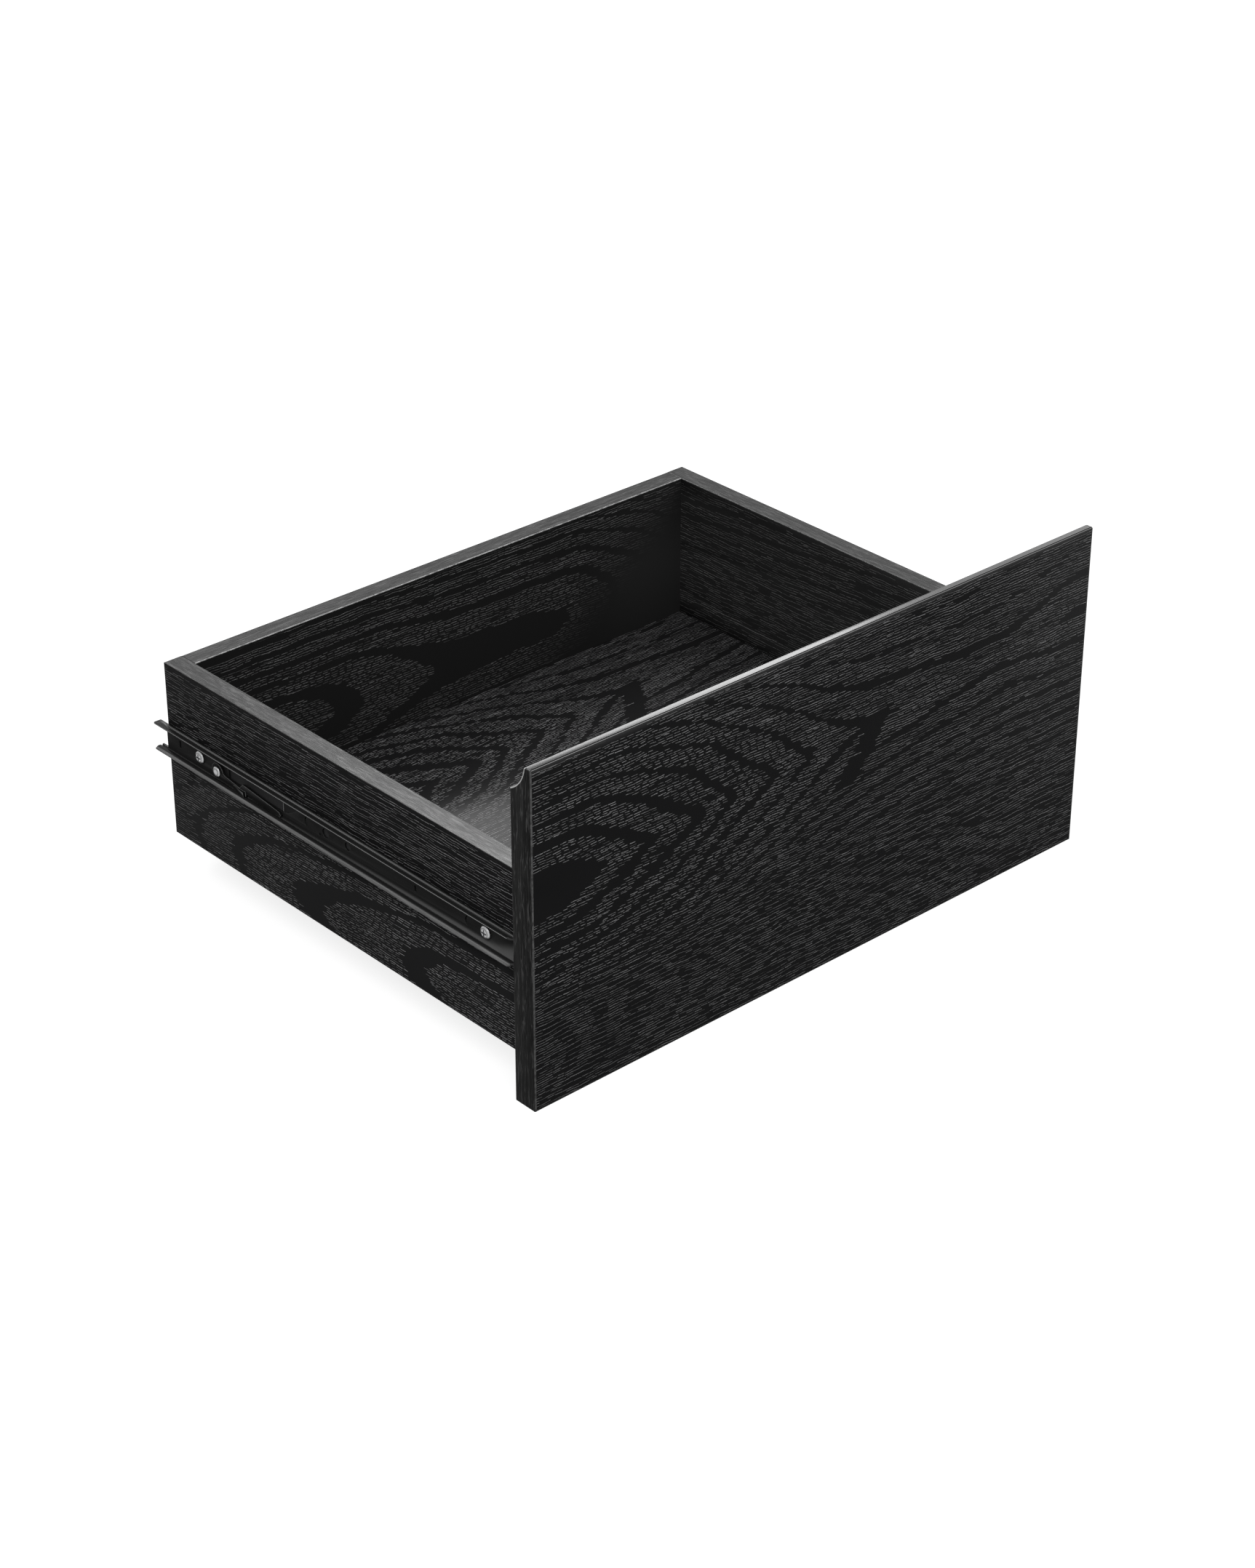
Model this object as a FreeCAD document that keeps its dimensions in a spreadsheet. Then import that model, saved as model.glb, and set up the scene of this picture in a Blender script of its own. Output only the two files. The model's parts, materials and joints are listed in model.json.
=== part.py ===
import FreeCAD, Part
import math
import os
import re
import Sketcher

# A nightstand drawer taken out of its cabinet. Millimetres, +X right, +Y to the back, +Z up.
# The origin lies under the middle of the drawer, level with the bottom of the front.

SIZES = {
    # Front panel with its finger pull
    "front_width": 400.0,
    "front_height": 195.0,
    "front_thickness": 15.0,
    "end_band_thickness": 1.0,
    "bottom_band_thickness": 1.0,
    "band_rounding": 0.6,
    "arris_radius": 1.0,
    "pull_land_width": 4.4,
    "pull_drop": 14.9,
    "pull_radius": 19.0,
    # Box behind the front
    "overall_depth": 315.0,
    "front_overhang": 8.5,
    "box_raise": 21.5,
    "box_height": 106.0,
    "side_thickness": 12.0,
    "back_thickness": 12.0,
    "edge_band_thickness": 0.5,
    "edge_band_rounding": 0.3,
    # Bottom panel and its groove
    "bottom_thickness": 3.0,
    "groove_raise": 13.0,
    "groove_depth": 5.0,
    "groove_headroom": 0.2,
    "groove_end_play": 0.5,
    # Knock-down joints
    "cam_diameter": 12.0,
    "cam_length": 9.2,
    "cam_bore_depth": 9.5,
    "cam_play": 0.05,
    "cam_axis_depth": 6.0,
    "cam_setback": 24.0,
    "cam_cavity_clearance": 0.4,
    "cam_cavity_end_gap": 1.8,
    "cam_cross_span": 7.2,
    "cam_cross_width": 1.6,
    "cam_cross_depth": 2.0,
    "lower_cam_raise": 34.0,
    "upper_cam_drop": 18.0,
    "bolt_thread_diameter": 5.0,
    "bolt_thread_length": 7.5,
    "bolt_point_chamfer": 1.0,
    "bolt_thread_bore_depth": 8.0,
    "bolt_collar_diameter": 6.0,
    "bolt_collar_length": 1.2,
    "bolt_shank_diameter": 4.4,
    "bolt_neck_diameter": 2.8,
    "bolt_neck_length": 3.2,
    "bolt_head_diameter": 5.4,
    "bolt_head_length": 3.0,
    "bolt_head_chamfer": 0.5,
    "bolt_bore_clearance": 0.3,
    "dowel_diameter": 6.0,
    "dowel_length": 28.0,
    "dowel_cross_bore_depth": 8.5,
    "dowel_end_bore_depth": 20.5,
    "dowel_end_gap": 0.5,
    "dowel_chamfer": 0.8,
    "dowel_play": 0.05,
    # Slide member on each side of the box
    "slide_height": 17.0,
    "slide_depth": 5.6,
    "slide_sheet": 1.1,
    "slide_corner_radius": 1.5,
    "slide_axis_raise": 60.8,
    "slide_setback": 5.5,
    "slide_overhang": 5.5,
    "raceway_radius": 1.7,
    "raceway_width": 2.8,
    "raceway_inset": 2.3,
    "runout_length": 10.0,
    "runout_flat": 4.0,
    "slide_nose_cut": 3.0,
    "rear_gap_margin": 1.8,
    "cut_margin": 1.0,
    "front_screw_place": 23.5,
    "front_crescent_place": 38.6,
    "dimple_place": 79.4,
    "spare_hole_place": 165.0,
    "wide_hole_place": 146.4,
    "pin_hole_place": 141.5,
    "rear_crescent_place": 130.0,
    "recess_front_place": 125.5,
    "window_front_place": 109.5,
    "window_rear_place": 62.0,
    "rivet_place": 53.4,
    "rear_screw_place": 36.5,
    "rear_slot_place": 17.5,
    "spare_hole_diameter": 4.8,
    "wide_hole_diameter": 5.5,
    "pin_hole_diameter": 1.6,
    "pin_hole_drop": 2.8,
    "crescent_radius": 3.3,
    "crescent_width": 1.0,
    "crescent_height": 5.6,
    "dimple_width": 1.6,
    "dimple_height": 3.6,
    "rear_slot_width": 1.6,
    "rear_slot_height": 4.4,
    "window_top_margin": 2.5,
    "window_bottom_margin": 5.3,
    "recess_top_margin": 1.9,
    "recess_depth": 0.4,
    "recess_arc_radius": 26.0,
    # Screws that hold the slide members
    "screw_head_diameter": 7.2,
    "screw_head_height": 1.9,
    "screw_rim_height": 0.9,
    "screw_crown_diameter": 3.4,
    "screw_shank_diameter": 3.5,
    "screw_end_gap": 0.5,
    "screw_tip_length": 3.0,
    "screw_play": 0.05,
    "screw_web_hole_diameter": 4.2,
    "screw_cross_span": 4.0,
    "screw_cross_width": 0.9,
    "screw_cross_depth": 1.1,
    "screw_wall_left": 1.6,
    # Release levers and their rivets
    "lever_thickness": 1.4,
    "lever_clearance": 0.1,
    "lever_pivot_drop": 1.4,
    "lever_boss_rise": 0.05,
    "lever_throat_rise": 3.0,
    "lever_throat_place": 6.7,
    "lever_throat_drop": 0.2,
    "lever_dip_place": 19.7,
    "lever_dip_drop": 1.9,
    "lever_step_place": 22.6,
    "lever_step_rise": 1.1,
    "lever_step_width": 2.4,
    "lever_slope_place": 49.8,
    "lever_slope_drop": 1.4,
    "lever_tip_place": 56.0,
    "lever_tip_drop": 2.0,
    "lever_tip_flat": 0.65,
    "lever_notch_place": 28.0,
    "lever_notch_width": 5.4,
    "lever_notch_height": 1.9,
    "lever_foot_place": 12.0,
    "lever_foot_margin": 2.05,
    "lever_heel_rise": 0.55,
    "lever_grip_rear": 13.5,
    "lever_grip_front": 25.0,
    "lever_grip_rise": 1.7,
    "lever_grip_height": 2.8,
    "rivet_diameter": 3.0,
    "rivet_play": 0.05,
    "rivet_head_diameter": 6.0,
    "rivet_head_height": 1.1,
    "rivet_crown_diameter": 3.6,
}

# Places that several pieces share, worked out from the sizes
FRONT_FACE = "(-(overall_depth + slide_overhang) / 2)"
FRONT_BACK = f"({FRONT_FACE} + front_thickness)"
BOX_REAR = f"({FRONT_FACE} + overall_depth)"
BOX_TOP = "(box_raise + box_height)"
SIDE_RUN = "(overall_depth - front_thickness - edge_band_thickness)"
BOARD_HEIGHT = "(box_height - edge_band_thickness)"
BOX_SIDE = "(front_width / 2 - front_overhang)"
INNER_WIDTH = f"(2 * ({BOX_SIDE} - side_thickness))"
GROOVE_HEIGHT = "(bottom_thickness + groove_headroom)"
PANEL_REACH = "(groove_depth - groove_end_play)"
SLIDE_LENGTH = "(overall_depth - front_thickness - slide_setback + slide_overhang)"
SLIDE_FRONT = f"({FRONT_BACK} + slide_setback)"
SLIDE_AXIS = "(box_raise + slide_axis_raise)"
CAM_RAISES = ("lower_cam_raise", "(box_height - upper_cam_drop)")
DOWEL_RAISE = "((lower_cam_raise + box_height - upper_cam_drop) / 2)"
BOLT_THREAD_BORE = "(bolt_thread_diameter + 2 * cam_play)"
BOLT_BORE = "(bolt_collar_diameter + 2 * bolt_bore_clearance)"
DOWEL_BORE = "(dowel_diameter + 2 * dowel_play)"
SCREW_BORE = "(screw_shank_diameter + 2 * screw_play)"
SCREW_BORE_DEPTH = "(side_thickness - screw_wall_left)"
RACEWAY_CENTRE = "(slide_depth - raceway_inset)"
RIVET_SEAT = "(slide_sheet + 2 * lever_clearance + lever_thickness)"
LEVER_FOOT = "(slide_height / 2 - lever_pivot_drop - lever_foot_margin)"

# How near two places must be to count as one, in mm, and the least that a cut takes away, in mm3
TOUCH = 1e-4
LEAST_CUT = 1e-3

doc = FreeCAD.newDocument("NightstandDrawer")
sheet = doc.addObject("Spreadsheet::Sheet", "Sizes")
nodes = []


def fill_sheet():
    """Each driving size has its own cell and alias."""
    for row, (alias, value) in enumerate(SIZES.items(), start=1):
        sheet.set(f"A{row}", alias)
        sheet.set(f"B{row}", str(value))
        sheet.setAlias(f"B{row}", alias)
    doc.recompute()


def bound(text):
    """Turns size names into references to the sheet's cells."""
    return re.sub(r"[a-z][a-z_]+", lambda word: f"Sizes.{word[0]}" if word[0] in SIZES else word[0], text)


def number(text):
    """The value that an expression has now, to draw a sketch's first guess with."""
    return float(sheet.evalExpression(re.sub(r"Sizes\.", "", bound(text))))


def new_body(label, x="0", y="0", z="0"):
    body = doc.addObject("PartDesign::Body", label)
    body.Label = label
    for axis, place in zip("xyz", (x, y, z)):
        body.setExpression(f"Placement.Base.{axis}", bound(place))
    return body


def new_sketch(body, label, plane, offset):
    """A sketch on one of the body's own origin planes, moved out along that plane's normal."""
    sketch = body.newObject("Sketcher::SketchObject", label)
    support = [feature for feature in body.Origin.OriginFeatures if feature.Role == plane][0]
    sketch.AttachmentSupport = (support, [""])
    sketch.MapMode = "FlatFace"
    sketch.setExpression("AttachmentOffset.Base.z", bound(offset))
    return sketch


def bind(sketch, constraint, name, text):
    sketch.renameConstraint(sketch.addConstraint(constraint), name)
    sketch.setExpression(f"Constraints.{name}", bound(text))


def arc_through(start, end, radius, side):
    """The shorter arc between two points, bowed to the left (1) or the right (-1) of the way."""
    chord = end - start
    rise = radius - math.sqrt(radius * radius - chord.Length * chord.Length / 4)
    left = FreeCAD.Vector(-chord.y, chord.x, 0).normalize()
    return Part.Arc(start, (start + end) / 2 + left * rise * side, end)


def outline(body, label, plane, corners, offset="0"):
    """A closed sketch. A corner is (across, up), or (across, up, radius, side) where an arc leaves it."""
    sketch = new_sketch(body, label, plane, offset)
    points = [FreeCAD.Vector(number(corner[0]), number(corner[1]), 0) for corner in corners]
    first = []
    last = []
    for index, corner in enumerate(corners):
        start = points[index]
        end = points[(index + 1) % len(points)]
        if len(corner) == 4:
            edge = arc_through(start, end, number(corner[2]), corner[3])
        else:
            edge = Part.LineSegment(start, end)
        sketch.addGeometry(edge, False)
        begins_here = sketch.getPoint(index, 1).distanceToPoint(start) < TOUCH
        first.append(1 if begins_here else 2)
        last.append(2 if begins_here else 1)
    for index, corner in enumerate(corners):
        following = (index + 1) % len(corners)
        meeting = (index, last[index], following, first[following])
        sketch.addConstraint(Sketcher.Constraint("Coincident", *meeting))
        across = Sketcher.Constraint("DistanceX", -1, 1, index, first[index], points[index].x)
        upward = Sketcher.Constraint("DistanceY", -1, 1, index, first[index], points[index].y)
        bind(sketch, across, f"across{index}", corner[0])
        bind(sketch, upward, f"up{index}", corner[1])
        if len(corner) == 4:
            radius = Sketcher.Constraint("Radius", index, number(corner[2]))
            bind(sketch, radius, f"radius{index}", corner[2])
    return sketch


def rectangle(body, label, plane, low, high, offset="0"):
    corners = [low, (high[0], low[1]), high, (low[0], high[1])]
    return outline(body, label, plane, corners, offset)


def circles(body, label, plane, centres, diameter, offset="0"):
    sketch = new_sketch(body, label, plane, offset)
    for index, (across, up) in enumerate(centres):
        centre = FreeCAD.Vector(number(across), number(up), 0)
        sketch.addGeometry(Part.Circle(centre, FreeCAD.Vector(0, 0, 1), number(diameter) / 2), False)
        bind(sketch, Sketcher.Constraint("DistanceX", -1, 1, index, 3, centre.x), f"across{index}", across)
        bind(sketch, Sketcher.Constraint("DistanceY", -1, 1, index, 3, centre.y), f"up{index}", up)
        bind(sketch, Sketcher.Constraint("Diameter", index, number(diameter)), f"diameter{index}", diameter)
    return sketch


def cross(body, label, span, width, height):
    """A screwdriver's cross about the upright axis, at a height."""
    far = f"({span} / 2)"
    near = f"({width} / 2)"
    quarter = [(far, near), (near, near), (near, far)]
    corners = []
    for across_sign, up_sign, order in (("", "", 1), ("-", "", -1), ("-", "-", 1), ("", "-", -1)):
        corners += [(across_sign + across, up_sign + up) for across, up in quarter[::order]]
    return outline(body, label, "XY_Plane", corners, height)


def pad(body, sketch, length, towards_normal=True, both_ways=False):
    feature = body.newObject("PartDesign::Pad", sketch.Label.replace("Sketch", "Pad"))
    feature.Profile = sketch
    feature.setExpression("Length", bound(length))
    feature.Reversed = not towards_normal
    feature.Midplane = both_ways
    doc.recompute()
    return feature


def pocket(body, sketch, depth, towards_normal=False, both_ways=False):
    """Cuts against the sketch's normal unless told otherwise, and proves that it cut."""
    before = body.Shape.Volume
    feature = body.newObject("PartDesign::Pocket", sketch.Label.replace("Sketch", "Pocket"))
    feature.Profile = sketch
    feature.setExpression("Length", bound(depth))
    feature.Reversed = towards_normal
    feature.Midplane = both_ways
    doc.recompute()
    if body.Shape.Volume > before - LEAST_CUT:
        raise RuntimeError(f"{body.Label}: {feature.Label} cuts nothing")
    return feature


def revolve(body, sketch):
    """Turns a sketch of radii and heights once round the plane's upright axis."""
    feature = body.newObject("PartDesign::Revolution", sketch.Label.replace("Sketch", "Revolution"))
    feature.Profile = sketch
    feature.ReferenceAxis = (sketch, ["V_Axis"])
    feature.Angle = 360
    doc.recompute()
    return feature


def dress_edges(body, kind, size_name, size, chosen):
    """A fillet or chamfer on the edges of the body's last shape that the test chooses."""
    base = body.Tip
    names = [f"Edge{i}" for i, edge in enumerate(base.Shape.Edges, start=1) if chosen(edge)]
    feature = body.newObject(f"PartDesign::{kind}", f"{body.Label}{kind}")
    feature.Base = (base, names)
    feature.setExpression(size_name, bound(size))
    doc.recompute()
    return feature


def runs_along(edge, axis):
    """True for a straight edge along x (0), y (1) or z (2)."""
    extent = edge.BoundBox
    lengths = (extent.XLength, extent.YLength, extent.ZLength)
    return lengths[axis] > 1 and sum(lengths) - lengths[axis] < TOUCH


def board(label, corner, extent):
    """A rectangular board with its low corner at a named place."""
    body = new_body(label, *corner)
    face = rectangle(body, f"{label}Sketch", "XY_Plane", ("0", "0"), (extent[0], extent[1]))
    pad(body, face, extent[2])
    return body


def finished(body):
    nodes.append(body)
    return body


# Front panel

def front_profile(body, label, foot):
    """Side view of the front: a flat face, a narrow land on top and the scooped finger pull behind."""
    corners = [
        ("0", foot),
        ("front_thickness", foot),
        ("front_thickness", "front_height - pull_drop", "pull_radius", 1),
        ("pull_land_width", "front_height"),
        ("arris_radius", "front_height", "arris_radius", -1),
        ("0", "front_height - arris_radius"),
    ]
    return outline(body, label, "YZ_Plane", corners)


def make_front():
    core_width = "(front_width - 2 * end_band_thickness)"
    body = new_body("drawer_front", f"-{core_width} / 2", FRONT_FACE, "0")
    pad(body, front_profile(body, "FrontSketch", "bottom_band_thickness"), core_width)
    side_place = "front_overhang - end_band_thickness + side_thickness"
    near_axis = f"({side_place} - cam_axis_depth)"
    far_axis = f"({core_width} - {near_axis})"
    bolt_centres = [(x, f"box_raise + {up}") for x in (near_axis, far_axis) for up in CAM_RAISES]
    threads = circles(body, "BoltBoreSketch", "XZ_Plane", bolt_centres, BOLT_THREAD_BORE, "-front_thickness")
    pocket(body, threads, "bolt_thread_bore_depth", towards_normal=True)
    dowel_centres = [(x, f"box_raise + {DOWEL_RAISE}") for x in (near_axis, far_axis)]
    dowels = circles(body, "DowelBoreSketch", "XZ_Plane", dowel_centres, DOWEL_BORE, "-front_thickness")
    pocket(body, dowels, "dowel_cross_bore_depth", towards_normal=True)
    groove_start = f"({side_place} - groove_depth)"
    low = (groove_start, "box_raise + groove_raise")
    high = (f"{core_width} - {groove_start}", f"box_raise + groove_raise + {GROOVE_HEIGHT}")
    groove = rectangle(body, "GrooveSketch", "XZ_Plane", low, high, "-front_thickness")
    pocket(body, groove, "groove_depth", towards_normal=True)
    return finished(body)


def make_front_end_band(label, side):
    """Edge band on one end of the front, side -1 at the left and 1 at the right."""
    x = "-front_width / 2" if side < 0 else "front_width / 2 - end_band_thickness"
    body = new_body(label, x, FRONT_FACE, "0")
    pad(body, front_profile(body, f"{label}Sketch", "0"), "end_band_thickness")
    outer = 0.0 if side < 0 else number("end_band_thickness")

    def outer_upright(edge):
        box = edge.BoundBox
        flat_on_end = box.XLength < TOUCH and abs(box.XMin - outer) < TOUCH
        return flat_on_end and runs_along(edge, 2)

    dress_edges(body, "Fillet", "Radius", "band_rounding", outer_upright)
    return finished(body)


def make_front_bottom_band():
    width = "(front_width - 2 * end_band_thickness)"
    corner = (f"-{width} / 2", FRONT_FACE, "0")
    return finished(board("front_bottom_band", corner, (width, "front_thickness", "bottom_band_thickness")))


# Box sides, back and bottom

def side_start(side):
    """Where a side board begins across the box, side -1 at the left and 1 at the right."""
    return f"-{BOX_SIDE}" if side < 0 else f"{BOX_SIDE} - side_thickness"


def make_side(label, side):
    """A side board with its bores and its groove for the bottom."""
    corner = (side_start(side), FRONT_BACK, "box_raise")
    body = board(label, corner, ("side_thickness", SIDE_RUN, BOARD_HEIGHT))
    inner = "side_thickness" if side < 0 else "0"
    outer = "0" if side < 0 else "side_thickness"
    inward = side > 0
    bolt_x = "side_thickness - cam_axis_depth" if side < 0 else "cam_axis_depth"
    rear_axis = f"({SIDE_RUN} + edge_band_thickness - cam_axis_depth)"

    groove_top = f"groove_raise + {GROOVE_HEIGHT}"
    groove = rectangle(body, "GrooveSketch", "YZ_Plane", ("0", "groove_raise"), (SIDE_RUN, groove_top), inner)
    pocket(body, groove, "groove_depth", inward)
    cams = [("cam_setback", up) for up in CAM_RAISES]
    threads = [(rear_axis, up) for up in CAM_RAISES]
    screw_places = ("front_screw_place", f"{SLIDE_LENGTH} - rear_screw_place")
    screws = [(f"slide_setback + {place}", "slide_axis_raise") for place in screw_places]
    for name, centres, diameter, depth, face, direction in (
        ("CamSketch", cams, "cam_diameter", "cam_bore_depth", inner, inward),
        ("ThreadSketch", threads, BOLT_THREAD_BORE, "bolt_thread_bore_depth", inner, inward),
        ("RearDowelSketch", [(rear_axis, DOWEL_RAISE)], DOWEL_BORE, "dowel_cross_bore_depth", inner, inward),
        ("ScrewSketch", screws, SCREW_BORE, SCREW_BORE_DEPTH, outer, not inward),
    ):
        pocket(body, circles(body, name, "YZ_Plane", centres, diameter, face), depth, direction)
    bolts = circles(body, "BoltSketch", "XZ_Plane", [(bolt_x, up) for up in CAM_RAISES], BOLT_BORE)
    pocket(body, bolts, "cam_setback")
    end_dowel = circles(body, "FrontDowelSketch", "XZ_Plane", [(bolt_x, DOWEL_RAISE)], DOWEL_BORE)
    pocket(body, end_dowel, "dowel_end_bore_depth")
    return finished(body)


def make_back():
    corner = (f"-{INNER_WIDTH} / 2", f"{BOX_REAR} - back_thickness", "box_raise")
    body = board("back_board", corner, (INNER_WIDTH, "back_thickness", BOARD_HEIGHT))
    groove_top = f"groove_raise + {GROOVE_HEIGHT}"
    groove = rectangle(body, "GrooveSketch", "XZ_Plane", ("0", "groove_raise"), (INNER_WIDTH, groove_top))
    pocket(body, groove, "groove_depth")
    ends = ("cam_setback", f"{INNER_WIDTH} - cam_setback")
    cams = [(x, up) for x in ends for up in CAM_RAISES]
    cam_bores = circles(body, "CamSketch", "XZ_Plane", cams, "cam_diameter", "-back_thickness")
    pocket(body, cam_bores, "cam_bore_depth", towards_normal=True)
    bolt_y = "back_thickness - cam_axis_depth"
    for end, offset, towards_normal in (("Left", "0", True), ("Right", INNER_WIDTH, False)):
        bolts = [(bolt_y, up) for up in CAM_RAISES]
        bolt_bores = circles(body, f"{end}BoltSketch", "YZ_Plane", bolts, BOLT_BORE, offset)
        pocket(body, bolt_bores, "cam_setback", towards_normal)
        dowel_centre = [(bolt_y, DOWEL_RAISE)]
        dowel = circles(body, f"{end}DowelSketch", "YZ_Plane", dowel_centre, DOWEL_BORE, offset)
        pocket(body, dowel, "dowel_end_bore_depth", towards_normal)
    return finished(body)


def make_bottom():
    width = f"({INNER_WIDTH} + 2 * {PANEL_REACH})"
    depth = f"(overall_depth - front_thickness - back_thickness + 2 * {PANEL_REACH})"
    corner = (f"-{width} / 2", f"{FRONT_BACK} - {PANEL_REACH}", "box_raise + groove_raise")
    return finished(board("bottom_panel", corner, (width, depth, "bottom_thickness")))


def make_edge_band(label, corner, extent, long_axis, outward_axis):
    """A thin strip glued on a board's edge, with its two long outer edges rounded."""
    body = board(label, corner, extent)
    outer = number(extent[outward_axis])

    def long_and_outer(edge):
        box = edge.BoundBox
        lows = (box.XMin, box.YMin, box.ZMin)
        return runs_along(edge, long_axis) and abs(lows[outward_axis] - outer) < TOUCH

    dress_edges(body, "Fillet", "Radius", "edge_band_rounding", long_and_outer)
    return finished(body)


def make_edge_bands():
    band_foot = f"{BOX_TOP} - edge_band_thickness"
    top_extent = ("side_thickness", f"{SIDE_RUN} + edge_band_thickness", "edge_band_thickness")
    rear_extent = ("side_thickness", "edge_band_thickness", BOARD_HEIGHT)
    for hand, side in (("left", -1), ("right", 1)):
        x = side_start(side)
        make_edge_band(f"side_top_band_{hand}", (x, FRONT_BACK, band_foot), top_extent, 1, 2)
        rear = (x, f"{BOX_REAR} - edge_band_thickness", "box_raise")
        make_edge_band(f"side_rear_band_{hand}", rear, rear_extent, 2, 1)
    corner = (f"-{INNER_WIDTH} / 2", f"{BOX_REAR} - back_thickness", band_foot)
    back_extent = (INNER_WIDTH, "back_thickness", "edge_band_thickness")
    make_edge_band("back_top_band", corner, back_extent, 0, 2)


# Knock-down fittings, each made once and linked to its places

def linked_group(label, master, places):
    """One node of identical solids: places are (x, y, z, rotation)."""
    copies = []
    for index, (x, y, z, rotation) in enumerate(places):
        copy = doc.addObject("App::Link", f"{label}_{index + 1}")
        copy.LinkedObject = master
        copy.Placement = FreeCAD.Placement(FreeCAD.Vector(), rotation)
        for axis, place in zip("xyz", (x, y, z)):
            copy.setExpression(f"Placement.Base.{axis}", bound(place))
        copies.append(copy)
    group = doc.addObject("Part::Compound", label)
    group.Label = label
    group.Links = copies
    doc.recompute()
    return finished(group)


def turned_to(axis, about=FreeCAD.Vector(0, 0, 1)):
    """The rotation that takes a fitting's upright axis to another direction."""
    return FreeCAD.Rotation(about, FreeCAD.Vector(*axis))


def make_bolt_master():
    """Cam bolt standing on z = 0, its thread below and its head at the cam's centre above."""
    body = new_body("cam_bolt_master")
    thread = "bolt_thread_diameter / 2"
    collar = "bolt_collar_diameter / 2"
    shank = "bolt_shank_diameter / 2"
    neck = "bolt_neck_diameter / 2"
    head = "bolt_head_diameter / 2"
    head_foot = "(cam_setback - bolt_head_length / 2)"
    corners = [
        ("0", "-bolt_thread_length"),
        (f"{thread} - bolt_point_chamfer", "-bolt_thread_length"),
        (thread, "-bolt_thread_length + bolt_point_chamfer"),
        (thread, "0"),
        (collar, "0"),
        (collar, "bolt_collar_length"),
        (shank, "bolt_collar_length"),
        (shank, f"{head_foot} - bolt_neck_length"),
        (neck, f"{head_foot} - bolt_neck_length"),
        (neck, head_foot),
        (head, f"{head_foot} + bolt_head_chamfer"),
        (head, f"{head_foot} + bolt_head_length - bolt_head_chamfer"),
        (neck, f"{head_foot} + bolt_head_length"),
        ("0", f"{head_foot} + bolt_head_length"),
    ]
    revolve(body, outline(body, "BoltSketch", "XZ_Plane", corners))
    return body


def make_cam_master():
    """Cam with its slotted face at z = 0, its body below and its mouth towards -X."""
    body = new_body("cam_lock_master")
    barrel = circles(body, "CamSketch", "XY_Plane", [("0", "0")], "cam_diameter - 2 * cam_play")
    pad(body, barrel, "cam_length", towards_normal=False)
    cavity = "bolt_head_diameter + 2 * cam_cavity_clearance"
    reach = "bolt_head_length / 2 + cam_cavity_end_gap"
    mouth = circles(body, "MouthSketch", "YZ_Plane", [("0", "-cam_axis_depth")], cavity, reach)
    pocket(body, mouth, "cam_diameter")
    slots = cross(body, "CrossSketch", "cam_cross_span", "cam_cross_width", "0")
    pocket(body, slots, "cam_cross_depth")
    return body


def make_dowel_master():
    """Dowel from z = 0 upwards with chamfered ends."""
    body = new_body("dowel_master")
    radius = "dowel_diameter / 2"
    corners = [
        ("0", "0"),
        (f"{radius} - dowel_chamfer", "0"),
        (radius, "dowel_chamfer"),
        (radius, "dowel_length - dowel_chamfer"),
        (f"{radius} - dowel_chamfer", "dowel_length"),
        ("0", "dowel_length"),
    ]
    revolve(body, outline(body, "DowelSketch", "XZ_Plane", corners))
    return body


def joint_places():
    """The four box corners: where a fitting crosses into a board, its direction and the cam's face."""
    side_axis = f"({BOX_SIDE} - side_thickness + cam_axis_depth)"
    rear_axis = f"({BOX_REAR} - cam_axis_depth)"
    inner_face = f"({INNER_WIDTH} / 2)"
    places = []
    for sign in ("-", ""):
        side = -1 if sign else 1
        front = {"x": f"{sign}{side_axis}", "y": FRONT_BACK, "along": (0, 1, 0)}
        front["cam"] = (f"{sign}{inner_face}", f"{FRONT_BACK} + cam_setback", (-side, 0, 0))
        rear = {"x": f"{sign}{inner_face}", "y": rear_axis, "along": (-side, 0, 0)}
        rear["cam"] = (f"{sign}({inner_face} - cam_setback)", BOX_REAR, (0, 1, 0))
        places += [front, rear]
    return places


def cam_rotation(face, bolt_along):
    """Turns a cam's face to its normal and its mouth to where the bolt comes from."""
    normal = FreeCAD.Vector(*face)
    inward = FreeCAD.Vector(*bolt_along)
    return FreeCAD.Rotation(inward, normal.cross(inward), normal, "ZXY")


def make_fittings():
    bolts = []
    cams = []
    dowels = []
    for place in joint_places():
        for up in CAM_RAISES:
            level = f"box_raise + {up}"
            bolts.append((place["x"], place["y"], level, turned_to(place["along"])))
            x, y, face = place["cam"]
            cams.append((x, y, level, cam_rotation(face, place["along"])))
        start = {"x": place["x"], "y": place["y"]}
        into = "(dowel_cross_bore_depth - dowel_end_gap)"
        if place["along"][1]:
            start["y"] = f"{place['y']} - {into}"
        else:
            start["x"] = f"{place['x']} {'-' if place['along'][0] > 0 else '+'} {into}"
        dowels.append((start["x"], start["y"], f"box_raise + {DOWEL_RAISE}", turned_to(place["along"])))
    linked_group("cam_bolts", make_bolt_master(), bolts)
    linked_group("cam_locks", make_cam_master(), cams)
    linked_group("wooden_dowels", make_dowel_master(), dowels)


# Slide members

def raceway_chord(radius, depth):
    """Half the width of a circle about the ball's centre, cut a depth below the flange's outside."""
    drop = "sqrt(raceway_radius ^ 2 - (raceway_width / 2) ^ 2)"
    return f"sqrt(({radius}) ^ 2 - ({drop} + {depth}) ^ 2)"


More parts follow.
